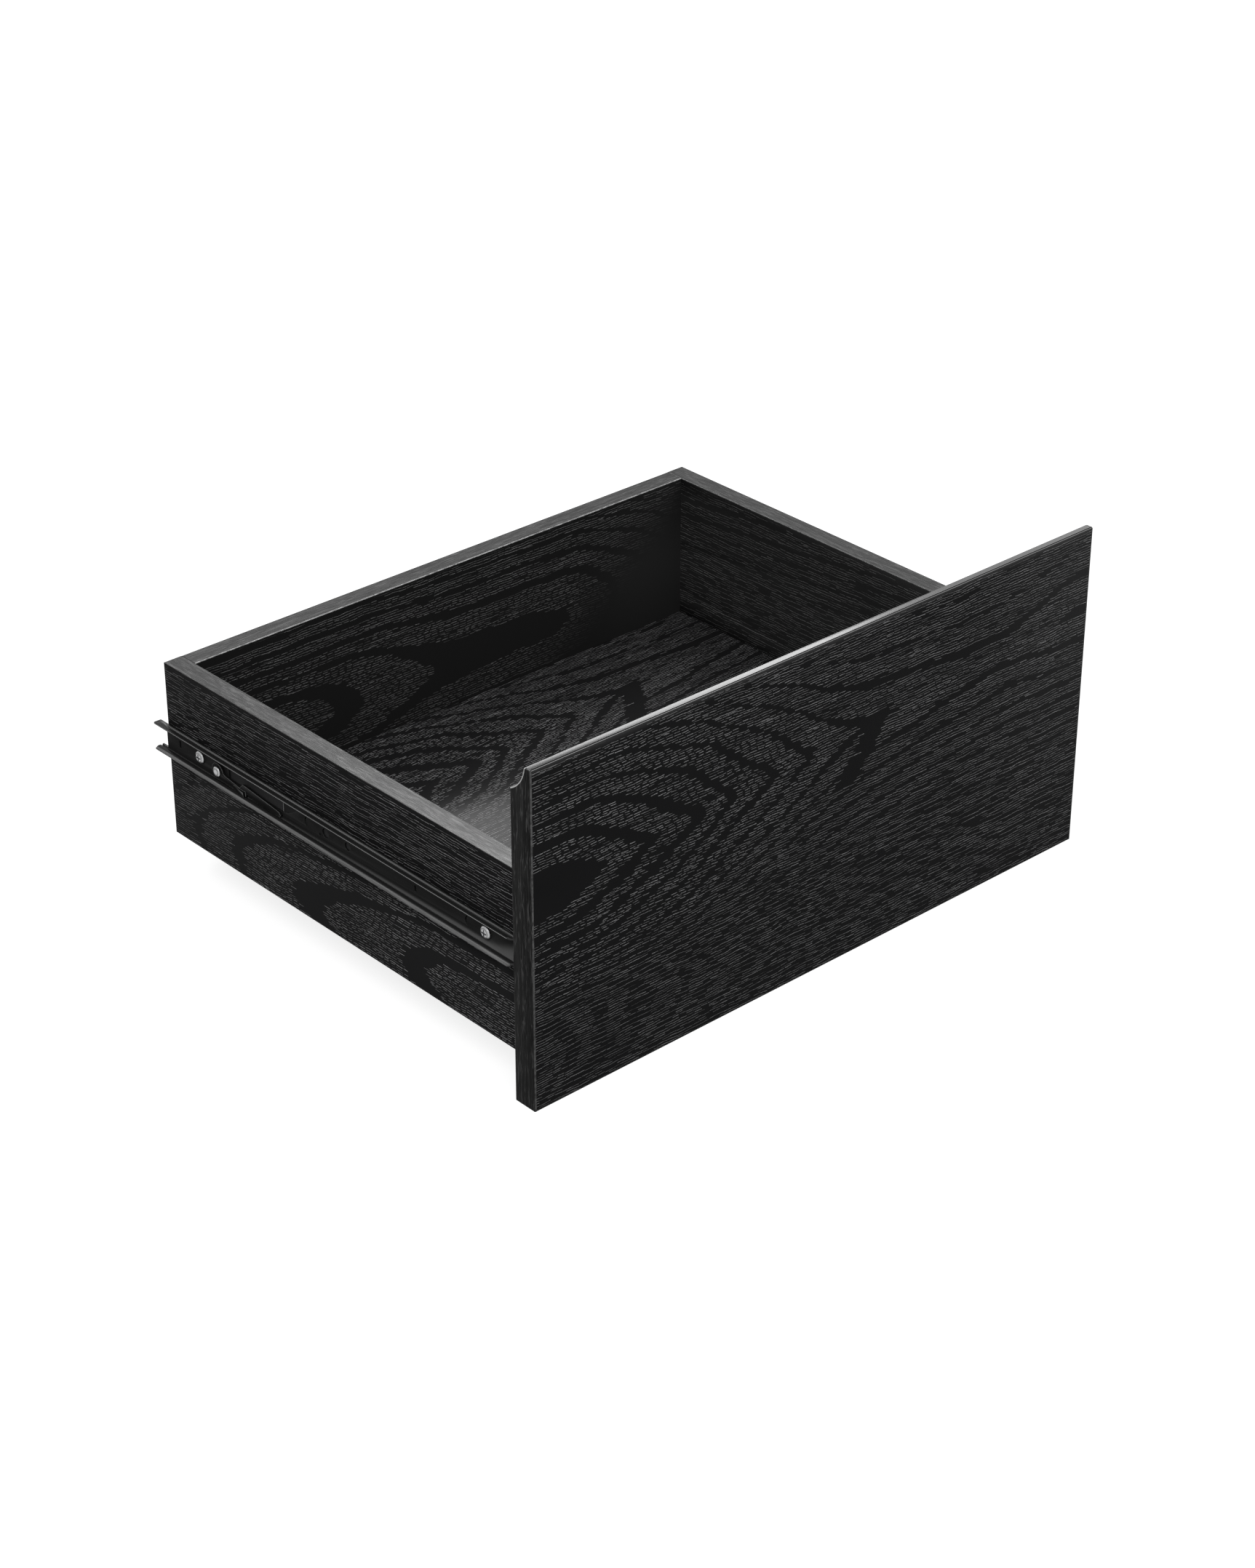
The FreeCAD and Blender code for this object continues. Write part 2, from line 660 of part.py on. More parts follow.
def slide_section(body):
    """C section of bent sheet: the web lies on the wood at x = 0 and the flanges reach out to -X."""
    half = "slide_height / 2"
    inside = f"({half} - slide_sheet)"
    crest = raceway_chord("raceway_radius + slide_sheet", "slide_sheet")
    upper = [
        ("0", f"{half} - slide_corner_radius", "slide_corner_radius", -1),
        ("-slide_corner_radius", half),
        (f"-({RACEWAY_CENTRE} - raceway_width / 2)", half, "raceway_radius", 1),
        (f"-({RACEWAY_CENTRE} + raceway_width / 2)", half),
        ("-slide_depth", half),
        ("-slide_depth", inside),
        (f"-({RACEWAY_CENTRE} + {crest})", inside, "raceway_radius + slide_sheet", -1),
        (f"-({RACEWAY_CENTRE} - {crest})", inside),
        ("-slide_sheet", inside),
    ]
    lower = [
        ("-slide_sheet", f"-{inside}"),
        (f"-({RACEWAY_CENTRE} - {crest})", f"-{inside}", "raceway_radius + slide_sheet", -1),
        (f"-({RACEWAY_CENTRE} + {crest})", f"-{inside}"),
        ("-slide_depth", f"-{inside}"),
        ("-slide_depth", f"-{half}"),
        (f"-({RACEWAY_CENTRE} + raceway_width / 2)", f"-{half}", "raceway_radius", 1),
        (f"-({RACEWAY_CENTRE} - raceway_width / 2)", f"-{half}"),
        ("-slide_corner_radius", f"-{half}", "slide_corner_radius", -1),
        ("0", f"-({half} - slide_corner_radius)"),
    ]
    return outline(body, "SectionSketch", "XZ_Plane", upper + lower)


def crescent(body, label, place):
    """A crescent pierced through the web, bowed to the back."""
    low = "-crescent_height / 2"
    high = "crescent_height / 2"
    corners = [
        (place, low, "crescent_radius", -1),
        (place, high),
        (f"{place} - crescent_width", high, "crescent_radius", 1),
        (f"{place} - crescent_width", low),
    ]
    return outline(body, label, "YZ_Plane", corners)


def make_slide(label, side):
    """The drawer member of a ball-bearing slide. Both hands are one part, the right one turned over."""
    body = new_body(label, *slide_point(side, "0"))
    pad(body, slide_section(body), SLIDE_LENGTH, towards_normal=False)
    through = "4 * slide_sheet"

    half = "slide_height / 2"
    floor = f"({half} - raceway_radius + sqrt(raceway_radius ^ 2 - (raceway_width / 2) ^ 2))"
    for name, sign in (("Upper", ""), ("Lower", "-")):
        ramp = [
            (f"{SLIDE_LENGTH} - runout_flat - runout_length", f"{sign}{floor}"),
            (f"{SLIDE_LENGTH} - runout_flat", f"{sign}{half}"),
            (SLIDE_LENGTH, f"{sign}{half}"),
            (SLIDE_LENGTH, f"{sign}{floor}"),
        ]
        runout = outline(body, f"{name}RunoutSketch", "YZ_Plane", ramp, f"-{RACEWAY_CENTRE}")
        pad(body, runout, "raceway_width", both_ways=True)

    gap_low = (f"{SLIDE_LENGTH} - slide_overhang", f"-({half} - rear_gap_margin)")
    gap_high = (f"{SLIDE_LENGTH} + cut_margin", f"{half} - rear_gap_margin")
    pocket(body, rectangle(body, "RearGapSketch", "YZ_Plane", gap_low, gap_high), through, both_ways=True)
    beyond = "-(slide_depth + cut_margin)"
    nose = [
        (beyond, "-cut_margin"),
        ("-slide_depth + slide_nose_cut", "-cut_margin"),
        ("-slide_depth + slide_nose_cut", "0"),
        ("-slide_depth", "slide_nose_cut"),
        (beyond, "slide_nose_cut"),
    ]
    pocket(body, outline(body, "NoseSketch", "XY_Plane", nose), "2 * slide_height", both_ways=True)

    screw_holes = [("front_screw_place", "0"), (f"{SLIDE_LENGTH} - rear_screw_place", "0")]
    spare = [(f"{SLIDE_LENGTH} - spare_hole_place", "0")]
    wide = [(f"{SLIDE_LENGTH} - wide_hole_place", "0")]
    pin = [(f"{SLIDE_LENGTH} - pin_hole_place", "-pin_hole_drop")]
    rivet = [(f"{SLIDE_LENGTH} - rivet_place", "-lever_pivot_drop")]
    for name, centres, diameter in (
        ("ScrewHoleSketch", screw_holes, "screw_web_hole_diameter"),
        ("SpareHoleSketch", spare, "spare_hole_diameter"),
        ("WideHoleSketch", wide, "wide_hole_diameter"),
        ("PinHoleSketch", pin, "pin_hole_diameter"),
        ("RivetHoleSketch", rivet, "rivet_diameter + 2 * rivet_play"),
    ):
        pocket(body, circles(body, name, "YZ_Plane", centres, diameter), through, both_ways=True)
    for name, place in (
        ("FrontCrescentSketch", "front_crescent_place"),
        ("RearCrescentSketch", f"{SLIDE_LENGTH} - rear_crescent_place"),
    ):
        pocket(body, crescent(body, name, place), through, both_ways=True)
    for name, place, width, height in (
        ("DimpleSketch", "dimple_place", "dimple_width", "dimple_height"),
        ("RearSlotSketch", f"{SLIDE_LENGTH} - rear_slot_place", "rear_slot_width", "rear_slot_height"),
    ):
        low = (f"{place} - {width} / 2", f"-{height} / 2")
        high = (f"{place} + {width} / 2", f"{height} / 2")
        pocket(body, rectangle(body, name, "YZ_Plane", low, high), through, both_ways=True)

    recess_rear = f"{SLIDE_LENGTH} - window_front_place"
    recess_top = f"{half} - recess_top_margin"
    window_foot = f"-({half} - window_bottom_margin)"
    recess = [
        (recess_rear, window_foot),
        (recess_rear, recess_top),
        (f"{SLIDE_LENGTH} - recess_front_place", recess_top, "recess_arc_radius", -1),
    ]
    recess_sketch = outline(body, "RecessSketch", "YZ_Plane", recess, "-slide_sheet")
    pocket(body, recess_sketch, "recess_depth", towards_normal=True)
    window_low = (recess_rear, window_foot)
    window_high = (f"{SLIDE_LENGTH} - window_rear_place", f"{half} - window_top_margin")
    window = rectangle(body, "WindowSketch", "YZ_Plane", window_low, window_high)
    pocket(body, window, through, both_ways=True)
    if side > 0:
        turn_over(body)
    return finished(body)


def turn_over(body):
    """Half a turn about the long axis, which is how one part serves both hands."""
    body.Placement.Rotation = FreeCAD.Rotation(FreeCAD.Vector(0, 1, 0), 180)


def slide_point(side, place, drop="0", out="0"):
    """A point on a slide member: along it from its front end, below its axis and out from the wood."""
    if side < 0:
        return (f"-{BOX_SIDE} - {out}", f"{SLIDE_FRONT} + {place}", f"{SLIDE_AXIS} - {drop}")
    return (f"{BOX_SIDE} + {out}", f"{SLIDE_FRONT} + {place}", f"{SLIDE_AXIS} + {drop}")


# Slide screws, rivets and release levers

def make_screw_master():
    """Pan-head screw: underside of the head on z = 0, head above, shank below."""
    body = new_body("slide_screw_master")
    head = "screw_head_diameter / 2"
    shank = "screw_shank_diameter / 2"
    length = f"({SCREW_BORE_DEPTH} - screw_end_gap + slide_sheet)"
    corners = [
        ("0", f"-{length}"),
        (shank, f"-({length} - screw_tip_length)"),
        (shank, "0"),
        (head, "0"),
        (head, "screw_rim_height", "screw_head_diameter / 2", -1),
        ("screw_crown_diameter / 2", "screw_head_height"),
        ("0", "screw_head_height"),
    ]
    revolve(body, outline(body, "ScrewSketch", "XZ_Plane", corners))
    slots = cross(body, "CrossSketch", "screw_cross_span", "screw_cross_width", "screw_head_height")
    pocket(body, slots, "screw_cross_depth")
    return body


def make_rivet_master():
    """Rivet: underside of the head on z = 0, domed head above, shank down to the wood."""
    body = new_body("lever_rivet_master")
    reach = f"({RIVET_SEAT} - rivet_play)"
    head = "rivet_head_diameter / 2"
    corners = [
        ("0", f"-{reach}"),
        ("rivet_diameter / 2", f"-{reach}"),
        ("rivet_diameter / 2", "0"),
        (head, "0"),
        (head, "rivet_head_height / 2", "rivet_head_diameter / 2", -1),
        ("rivet_crown_diameter / 2", "rivet_head_height"),
        ("0", "rivet_head_height"),
    ]
    revolve(body, outline(body, "RivetSketch", "XZ_Plane", corners))
    return body


def make_slide_fasteners():
    outward = {-1: turned_to((-1, 0, 0)), 1: turned_to((1, 0, 0))}
    screws = []
    rivets = []
    for side in (-1, 1):
        for place in ("front_screw_place", f"{SLIDE_LENGTH} - rear_screw_place"):
            screws.append((*slide_point(side, place, out="slide_sheet"), outward[side]))
        pivot = slide_point(side, f"{SLIDE_LENGTH} - rivet_place", "lever_pivot_drop", RIVET_SEAT)
        rivets.append((*pivot, outward[side]))
    linked_group("slide_screws", make_screw_master(), screws)
    linked_group("lever_rivets", make_rivet_master(), rivets)


def lever_arm():
    """The arm seen from outside, pivot on the origin, running forward past a step to its rounded tip."""
    foot = f"-{LEVER_FOOT}"
    notch_rear = "-(lever_notch_place - lever_notch_width / 2)"
    notch_front = "-(lever_notch_place + lever_notch_width / 2)"
    notch_top = f"{foot} + lever_notch_height"
    tip = "-lever_tip_place"
    rounding = f"(({LEVER_FOOT} - lever_tip_drop - lever_tip_flat) / 2)"
    return [
        ("0", "lever_throat_rise"),
        ("-lever_throat_place", "-lever_throat_drop"),
        ("-lever_dip_place", "-lever_dip_drop"),
        ("-lever_step_place", "lever_step_rise"),
        ("-(lever_step_place + lever_step_width)", "lever_step_rise"),
        ("-lever_slope_place", "-lever_slope_drop"),
        (f"{tip} + {rounding}", "-lever_tip_drop", rounding, 1),
        (tip, f"-(lever_tip_drop + {rounding})"),
        (tip, f"{foot} + {rounding}", rounding, 1),
        (f"{tip} + {rounding}", foot),
        (notch_front, foot),
        (notch_front, notch_top),
        (notch_rear, notch_top),
        (notch_rear, foot),
        ("-lever_foot_place", foot),
        ("0", f"{foot} + lever_heel_rise"),
    ]


def make_lever(label, side):
    """Release lever with a ramped grip for the finger, turning on its rivet."""
    seat = "(slide_sheet + lever_clearance)"
    body = new_body(label, *slide_point(side, f"{SLIDE_LENGTH} - rivet_place", "lever_pivot_drop", seat))
    boss = circles(body, "BossSketch", "YZ_Plane", [("0", "0")], f"2 * ({LEVER_FOOT} - lever_boss_rise)")
    pad(body, boss, "lever_thickness", towards_normal=False)
    pad(body, outline(body, "ArmSketch", "YZ_Plane", lever_arm()), "lever_thickness", towards_normal=False)
    ramp = [
        ("-lever_thickness / 2", "-lever_grip_rear"),
        ("-lever_thickness", "-lever_grip_rear"),
        ("-lever_thickness - lever_grip_rise", "-lever_grip_front"),
        ("-lever_thickness / 2", "-lever_grip_front"),
    ]
    grip = outline(body, "GripSketch", "XY_Plane", ramp, f"-{LEVER_FOOT}")
    pad(body, grip, "lever_grip_height")
    bore = circles(body, "BoreSketch", "YZ_Plane", [("0", "0")], "rivet_diameter + 2 * rivet_play")
    pocket(body, bore, "4 * lever_thickness", both_ways=True)
    if side > 0:
        turn_over(body)
    return finished(body)


def check_document():
    """Stops if any object failed or any node has no sound shape."""
    doc.recompute()
    for thing in doc.Objects:
        if "Invalid" in thing.State or "Error" in thing.State:
            raise RuntimeError(f"{thing.Label} failed: {thing.State}")
    for node in nodes:
        if node.Shape.isNull() or not node.Shape.isValid() or not node.Shape.Solids:
            raise RuntimeError(f"{node.Label} has no sound solid")


def export_nodes():
    os.makedirs("parts", exist_ok=True)
    for node in nodes:
        node.Shape.exportStep(f"parts/{node.Label}.step")
        box = node.Shape.BoundBox
        print(f"{node.Label}: {len(node.Shape.Solids)} solids, {node.Shape.Volume:.1f} mm3, "
              f"{box.XLength:.1f} x {box.YLength:.1f} x {box.ZLength:.1f} mm")


fill_sheet()
make_front()
make_front_end_band("front_end_band_left", -1)
make_front_end_band("front_end_band_right", 1)
make_front_bottom_band()
make_side("side_left", -1)
make_side("side_right", 1)
make_back()
make_bottom()
make_edge_bands()
make_fittings()
make_slide("slide_member_left", -1)
make_slide("slide_member_right", 1)
make_slide_fasteners()
make_lever("release_lever_left", -1)
make_lever("release_lever_right", 1)
check_document()
export_nodes()
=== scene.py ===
import json
import math

import bmesh
import bpy
from mathutils import Matrix, Vector


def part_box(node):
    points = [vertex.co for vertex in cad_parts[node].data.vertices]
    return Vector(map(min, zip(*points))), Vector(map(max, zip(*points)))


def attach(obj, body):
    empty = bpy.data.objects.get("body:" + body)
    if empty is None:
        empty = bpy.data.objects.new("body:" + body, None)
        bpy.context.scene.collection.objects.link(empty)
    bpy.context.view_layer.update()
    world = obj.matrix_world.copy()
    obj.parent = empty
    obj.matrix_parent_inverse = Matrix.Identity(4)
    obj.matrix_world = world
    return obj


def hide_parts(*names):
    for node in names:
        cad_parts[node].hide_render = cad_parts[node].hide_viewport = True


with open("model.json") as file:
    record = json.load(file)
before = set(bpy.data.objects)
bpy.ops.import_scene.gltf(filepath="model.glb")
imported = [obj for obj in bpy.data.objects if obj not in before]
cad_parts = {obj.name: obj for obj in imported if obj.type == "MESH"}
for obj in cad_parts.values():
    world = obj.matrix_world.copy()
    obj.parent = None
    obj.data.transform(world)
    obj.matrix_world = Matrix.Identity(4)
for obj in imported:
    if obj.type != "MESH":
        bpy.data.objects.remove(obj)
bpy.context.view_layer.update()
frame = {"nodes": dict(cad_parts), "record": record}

# A nightstand drawer in black wood-grain laminate. Blender's metres, +X right, +Y to the back, +Z up.

MM = 0.001

# The photograph's camera, fitted to the drawer's corners: metres, degrees and pixels
PHOTO_WIDTH = 1725
PHOTO_HEIGHT = 2156
CAMERA_TARGET = Vector((0.0, -0.01025, 0.090))
CAMERA_AZIMUTH = -42.154
CAMERA_ELEVATION = 29.656
CAMERA_ROLL = 0.042
CAMERA_DISTANCE = 1.8554
CAMERA_RIGHT = -0.0018
CAMERA_UP = -0.0360
FOCAL_PIXELS = 4654.6
SENSOR_WIDTH = 36.0

# Places read from the frame, in mm
FRONT_LOW, FRONT_HIGH = (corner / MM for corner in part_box("drawer_front"))
SIDE_LOW, SIDE_HIGH = (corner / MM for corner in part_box("side_left"))
BACK_LOW, BACK_HIGH = (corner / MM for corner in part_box("back_board"))
BOX_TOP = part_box("side_top_band_left")[1].z / MM
SLIDE_LOW, SLIDE_HIGH = (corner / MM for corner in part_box("slide_member_left"))
RIVET_LOW, RIVET_HIGH = (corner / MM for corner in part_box("lever_rivets"))
SCREW_LOW, SCREW_HIGH = (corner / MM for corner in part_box("slide_screws"))
SIDE_OUTER = -SIDE_LOW.x
SIDE_INNER = -SIDE_HIGH.x
SIDE_MIDDLE = (SIDE_OUTER + SIDE_INNER) / 2
BACK_MIDDLE = (BACK_LOW.y + BACK_HIGH.y) / 2
SLIDE_LIP = -SLIDE_LOW.x
SLIDE_AXIS = (SLIDE_LOW.z + SLIDE_HIGH.z) / 2

# The front's side view, in mm
FRONT_THICKNESS = 15.0
PULL_LAND = 4.4
PULL_DROP = 14.9
PULL_RADIUS = 19.0
PULL_RIM_HIGHLIGHT_HALF_WIDTH = 0.45
WRAPPED_EDGE = 1.1
ARRIS_HALF_WIDTH = 0.28
ARRIS_DROPS = (0.42, 0.3)
GROOVE_INSET = 0.75
GROOVE_HALF_WIDTH = 0.20
REAR_PRINT_FROM = -150.0

# The front's paler parts, in mm: a haze up to its wrapped edge, and a painted sheen, a reflection painted
# into its colour, towards its upper right corner
HAZE_BELOW = 3.5
HAZE_ABOVE = 0.8
HAZE_DEPTH = 0.11
PAINTED_SHEEN_FROM = 90.0
PAINTED_SHEEN_HEIGHTS = (0.0, 190.0)
PAINTED_SHEEN_DEPTH = 0.055

# The slide members, in mm, and where highlights and a glint are painted on them: depths are from the lip
# inwards, rises from the lower flange upwards
LOWER_LIP_RISE = 1.5
LOWER_LIP_DEPTH = 1.3
FLANGE_BEND_DEPTH = 4.3
CREST_DEPTHS = (3.4, 2.6)
CUT_EDGE_DEPTH = 0.15
LIP_GLINT_DROP = 0.55
WINDOW_FRONT = SLIDE_HIGH.y - 109.5
WINDOW_EDGE_RISE = 9.6
WINDOW_EDGE_HALF = 3.6
PIVOT_DROP = 1.4
SCREW_HEAD_RADIUS = 3.6


# Node helpers

def fill(tree, node, inputs):
    """Links or sets a node's inputs."""
    for key, value in inputs.items():
        if isinstance(value, bpy.types.NodeSocket):
            tree.links.new(value, node.inputs[key])
        else:
            node.inputs[key].default_value = value


def put(tree, kind, inputs=(), **settings):
    """Adds a node, sets its properties, and links or sets its inputs."""
    made = tree.nodes.new(kind)
    for name, value in settings.items():
        setattr(made, name, value)
    fill(tree, made, dict(inputs))
    return made


def calc(tree, operation, *values):
    """A math node's result."""
    return put(tree, "ShaderNodeMath", enumerate(values), operation=operation).outputs[0]


def plus(tree, first, second):
    return calc(tree, "ADD", first, second)


def minus(tree, first, second):
    return calc(tree, "SUBTRACT", first, second)


def times(tree, first, *others):
    """Two or more values multiplied together."""
    for other in others:
        first = calc(tree, "MULTIPLY", first, other)
    return first


def times_plus(tree, value, factor, added):
    """A value multiplied by a factor, with another one added."""
    return calc(tree, "MULTIPLY_ADD", value, factor, added)


def size_of(tree, value):
    """A value without its sign."""
    return calc(tree, "ABSOLUTE", value)


def lessened(tree, value, mask, share=1.0):
    """A value that loses a share of itself where the mask is 1."""
    return times(tree, value, times_plus(tree, mask, -share, 1.0))


def combine(tree, x=0.0, y=0.0, z=0.0):
    return put(tree, "ShaderNodeCombineXYZ", {"X": x, "Y": y, "Z": z}).outputs[0]


def separate(tree, vector):
    return put(tree, "ShaderNodeSeparateXYZ", {"Vector": vector}).outputs


def channels(tree, colour):
    return put(tree, "ShaderNodeSeparateColor", {"Color": colour}).outputs


def vector_calc(tree, operation, *values, output="Vector"):
    """A vector math node's result."""
    return put(tree, "ShaderNodeVectorMath", enumerate(values), operation=operation).outputs[output]


def length_of(tree, vector):
    return vector_calc(tree, "LENGTH", vector, output="Value")


def scaled(tree, vector, x, y, z):
    """A vector with each part multiplied by its own factor."""
    return vector_calc(tree, "MULTIPLY", vector, (x, y, z))


def ranged(tree, value, low, high, to_low=0.0, to_high=1.0, smooth=True):
    """A value carried from one range to another, held at its ends."""
    kind = "SMOOTHSTEP" if smooth else "LINEAR"
    inputs = {"Value": value, "From Min": low, "From Max": high, "To Min": to_low, "To Max": to_high}
    return put(tree, "ShaderNodeMapRange", inputs, interpolation_type=kind).outputs["Result"]


def blended(tree, factor, first, second):
    """One colour running into another. The mix node's colours are its inputs 6 and 7, and its output 2."""
    return put(tree, "ShaderNodeMix", {0: factor, 6: first, 7: second}, data_type="RGBA").outputs[2]


def near(tree, value, level, half_width, soft=0.15):
    """1 where a value lies close to a level."""
    away = size_of(tree, minus(tree, value, level))
    return ranged(tree, away, half_width, half_width + soft, 1.0, 0.0)


def noise(tree, vector, scale=1.0, detail=2.0, roughness=0.5, output="Fac"):
    inputs = {"Vector": vector, "Scale": scale, "Detail": detail, "Roughness": roughness}
    return put(tree, "ShaderNodeTexNoise", inputs).outputs[output]


def grey(value):
    """A neutral colour from one linear value."""
    return (value, value, value, 1.0)


VECTOR_SOCKETS = ("Vector", "Centre")


def new_group(name, inputs, outputs):
    """A node group with named sockets. Those in VECTOR_SOCKETS are vectors and all others are numbers."""
    tree = bpy.data.node_groups.new(name, "ShaderNodeTree")
    for in_out, labels in (("INPUT", inputs), ("OUTPUT", outputs)):
        for label in labels:
            kind = "NodeSocketVector" if label in VECTOR_SOCKETS else "NodeSocketFloat"
            tree.interface.new_socket(label, in_out=in_out, socket_type=kind)
    return tree, tree.nodes.new("NodeGroupInput").outputs, tree.nodes.new("NodeGroupOutput")


def grouped(tree, group, **inputs):
    """Places a node group and returns its outputs. Underscores in names stand for spaces."""
    made = put(tree, "ShaderNodeGroup", node_tree=group)
    fill(tree, made, {label.replace("_", " "): value for label, value in inputs.items()})
    return made.outputs


# Shared effects

# Neighbours in one row of strokes are partly alike: how much, and how fast that changes along the row
RUN_SHARE = 0.55
RUN_PACE = 0.028

# Steps that keep the rows' random numbers apart
ROW_SEED_STEP = 1.37
ROW_SHIFT = 37.0
RUN_STEP = 7.31


def make_pore_cells():
    """Rows of cells along the grain, in millimetres, each with its centre and its own random numbers."""
    outputs = ["Centre", "Along", "Across", "Chance", "Tone", "Stagger"]
    tree, given, result = new_group("pore_cells", ["Vector", "Pitch", "Length", "Seed"], outputs)
    place = separate(tree, given["Vector"])
    row = calc(tree, "FLOOR", calc(tree, "DIVIDE", place["Y"], given["Pitch"]))
    row_seed = times_plus(tree, row, ROW_SEED_STEP, given["Seed"])
    row_draw = put(tree, "ShaderNodeTexWhiteNoise", {"W": row_seed}, noise_dimensions="1D").outputs["Value"]
    shift = times(tree, row_draw, ROW_SHIFT)
    cell_place = plus(tree, calc(tree, "DIVIDE", place["X"], given["Length"]), shift)
    cell = calc(tree, "FLOOR", cell_place)
    middle = plus(tree, minus(tree, cell, shift), 0.5)
    centre_x = times(tree, middle, given["Length"])
    centre_y = times(tree, plus(tree, row, 0.5), given["Pitch"])
    key = combine(tree, cell, row, given["Seed"])
    draws = put(tree, "ShaderNodeTexWhiteNoise", {"Vector": key}, noise_dimensions="3D").outputs["Color"]
    draw = channels(tree, draws)
    run_place = combine(tree, times(tree, centre_x, RUN_PACE), times(tree, row_seed, RUN_STEP))
    run = ranged(tree, noise(tree, run_place, detail=1.0), 0.3, 0.7, smooth=False)
    own_chance = times(tree, draw["Red"], 1.0 - RUN_SHARE)
    own_tone = times(tree, draw["Green"], 1.0 - RUN_SHARE)
    fill(tree, result, {
        "Centre": combine(tree, centre_x, centre_y),
        "Along": minus(tree, place["X"], centre_x),
        "Across": minus(tree, place["Y"], centre_y),
        "Chance": times_plus(tree, run, RUN_SHARE, own_chance),
        "Tone": times_plus(tree, minus(tree, 1.0, run), RUN_SHARE, own_tone),
        "Stagger": draw["Blue"],
    })
    return tree


# How softly an arch runs into its flank, in rings
RING_BLEND = 0.6


def make_ring_shape():
    """Growth rings cut flat: arches around an axis that straighten into flanks, counted as a phase."""
    inputs = ["Axis Phase", "Offset", "Upper Share", "Arch", "Arch Square", "Flank Start", "Flank",
              "Flank Square", "Crowding From", "Crowding"]
    tree, given, result = new_group("ring_shape", inputs, ["Phase"])
    above = calc(tree, "GREATER_THAN", given["Offset"], 0.0)
    share = times_plus(tree, above, minus(tree, given["Upper Share"], 1.0), 1.0)
    away = times(tree, size_of(tree, given["Offset"]), share)
    bend = times_plus(tree, away, given["Arch Square"], given["Arch"])
    arch = times_plus(tree, away, bend, given["Axis Phase"])
    climb = times_plus(tree, away, given["Flank Square"], given["Flank"])
    flank = times_plus(tree, away, climb, given["Flank Start"])
    beyond = calc(tree, "MAXIMUM", minus(tree, away, given["Crowding From"]), 0.0)
    crowd = times(tree, beyond, given["Crowding"])
    fill(tree, result, {"Phase": plus(tree, calc(tree, "SMOOTH_MAX", arch, flank, RING_BLEND), crowd)})
    return tree


# A stroke: half its length as a share of its cell's and half its width as a share of its row's, then, in mm,
# how far strokes stray from the row, how soft their sides and ends are, and how wide the painted shadows at
# their rims are
HALF_LENGTH_SHARES = (0.33, 0.58)
HALF_WIDTH_SHARES = (0.28, 0.46)
STROKE_STRAY = 0.55
STROKE_SOFT_SIDE = 0.10
STROKE_SOFT_END = 0.7
STROKE_RIM_SHADOW = 0.42


def make_pore_stroke():
    """One short stroke in its cell, kept or left out by chance against the density there."""
    inputs = ["Along", "Across", "Chance", "Tone", "Stagger", "Density", "Length", "Width", "Reach"]
    tree, given, result = new_group("pore_stroke", inputs, ["Mask", "Rim Shadow"])
    share = ranged(tree, given["Stagger"], 0.0, 1.0, *HALF_LENGTH_SHARES, smooth=False)
    half_length = times(tree, given["Length"], plus(tree, share, given["Reach"]))
    stray = times(tree, minus(tree, given["Stagger"], 0.5), STROKE_STRAY)
    across = size_of(tree, plus(tree, given["Across"], stray))
    along = size_of(tree, given["Along"])
    thickness = ranged(tree, given["Tone"], 0.0, 1.0, *HALF_WIDTH_SHARES, smooth=False)
    half_width = times(tree, given["Width"], thickness)
    edge = plus(tree, half_width, STROKE_SOFT_SIDE)
    thick = ranged(tree, across, half_width, edge, 1.0, 0.0)
    taper = ranged(tree, along, minus(tree, half_length, STROKE_SOFT_END), half_length, 1.0, 0.0)
    present = times(tree, taper, calc(tree, "LESS_THAN", given["Chance"], given["Density"]))
    # The rim is painted shadow beside the stroke, where the pressed pore's edge would shade the surface
    rim = ranged(tree, across, edge, plus(tree, edge, STROKE_RIM_SHADOW), 1.0, 0.0)
    fill(tree, result, {"Mask": times(tree, thick, present), "Rim Shadow": times(tree, rim, present)})
    return tree


def make_fine_streaks():
    """Fine broken streaks along X, as on a thin plastic edging, in mm."""
    tree, given, result = new_group("fine_streaks", ["Vector", "Fineness"], ["Streak"])
    inputs = {0: scaled(tree, given["Vector"], 0.10, 2.6, 2.6), "Scale": given["Fineness"]}
    sized = put(tree, "ShaderNodeVectorMath", inputs, operation="SCALE").outputs[0]
    broad = noise(tree, sized, scale=0.4, detail=3.0, roughness=0.6)
    fine = noise(tree, sized, scale=1.5)
    both = times_plus(tree, fine, 0.6, times(tree, broad, 0.4))
    fill(tree, result, {"Streak": ranged(tree, both, 0.44, 0.66)})
    return tree


PORE_CELLS = make_pore_cells()
RING_SHAPE = make_ring_shape()
PORE_STROKE = make_pore_stroke()
FINE_STREAKS = make_fine_streaks()


# Materials

def empty_tree(holder):
    """The node tree of a material or world, with nothing in it."""
    holder.use_nodes = True
    holder.node_tree.nodes.clear()
    return holder.node_tree


def new_material(name):
    """A material with nothing but a Principled shader."""
    material = bpy.data.materials.new(name)
    tree = empty_tree(material)
    shader = put(tree, "ShaderNodeBsdfPrincipled")
    put(tree, "ShaderNodeOutputMaterial", {"Surface": shader.outputs["BSDF"]})
    return material, tree, shader


def object_mm(tree):
    """Object coordinates in millimetres."""
    coordinates = tree.nodes.new("ShaderNodeTexCoord").outputs["Object"]
    return scaled(tree, coordinates, 1000.0, 1000.0, 1000.0)


def object_normal(tree):
    """The parts of the surface's direction, in the object's own frame."""
    return separate(tree, tree.nodes.new("ShaderNodeTexCoord").outputs["Normal"])


def bumped(tree, shader, height, strength, distance):
    bump = put(tree, "ShaderNodeBump", {"Height": height, "Strength": strength, "Distance": distance})
    fill(tree, shader, {"Normal": bump.outputs["Normal"]})


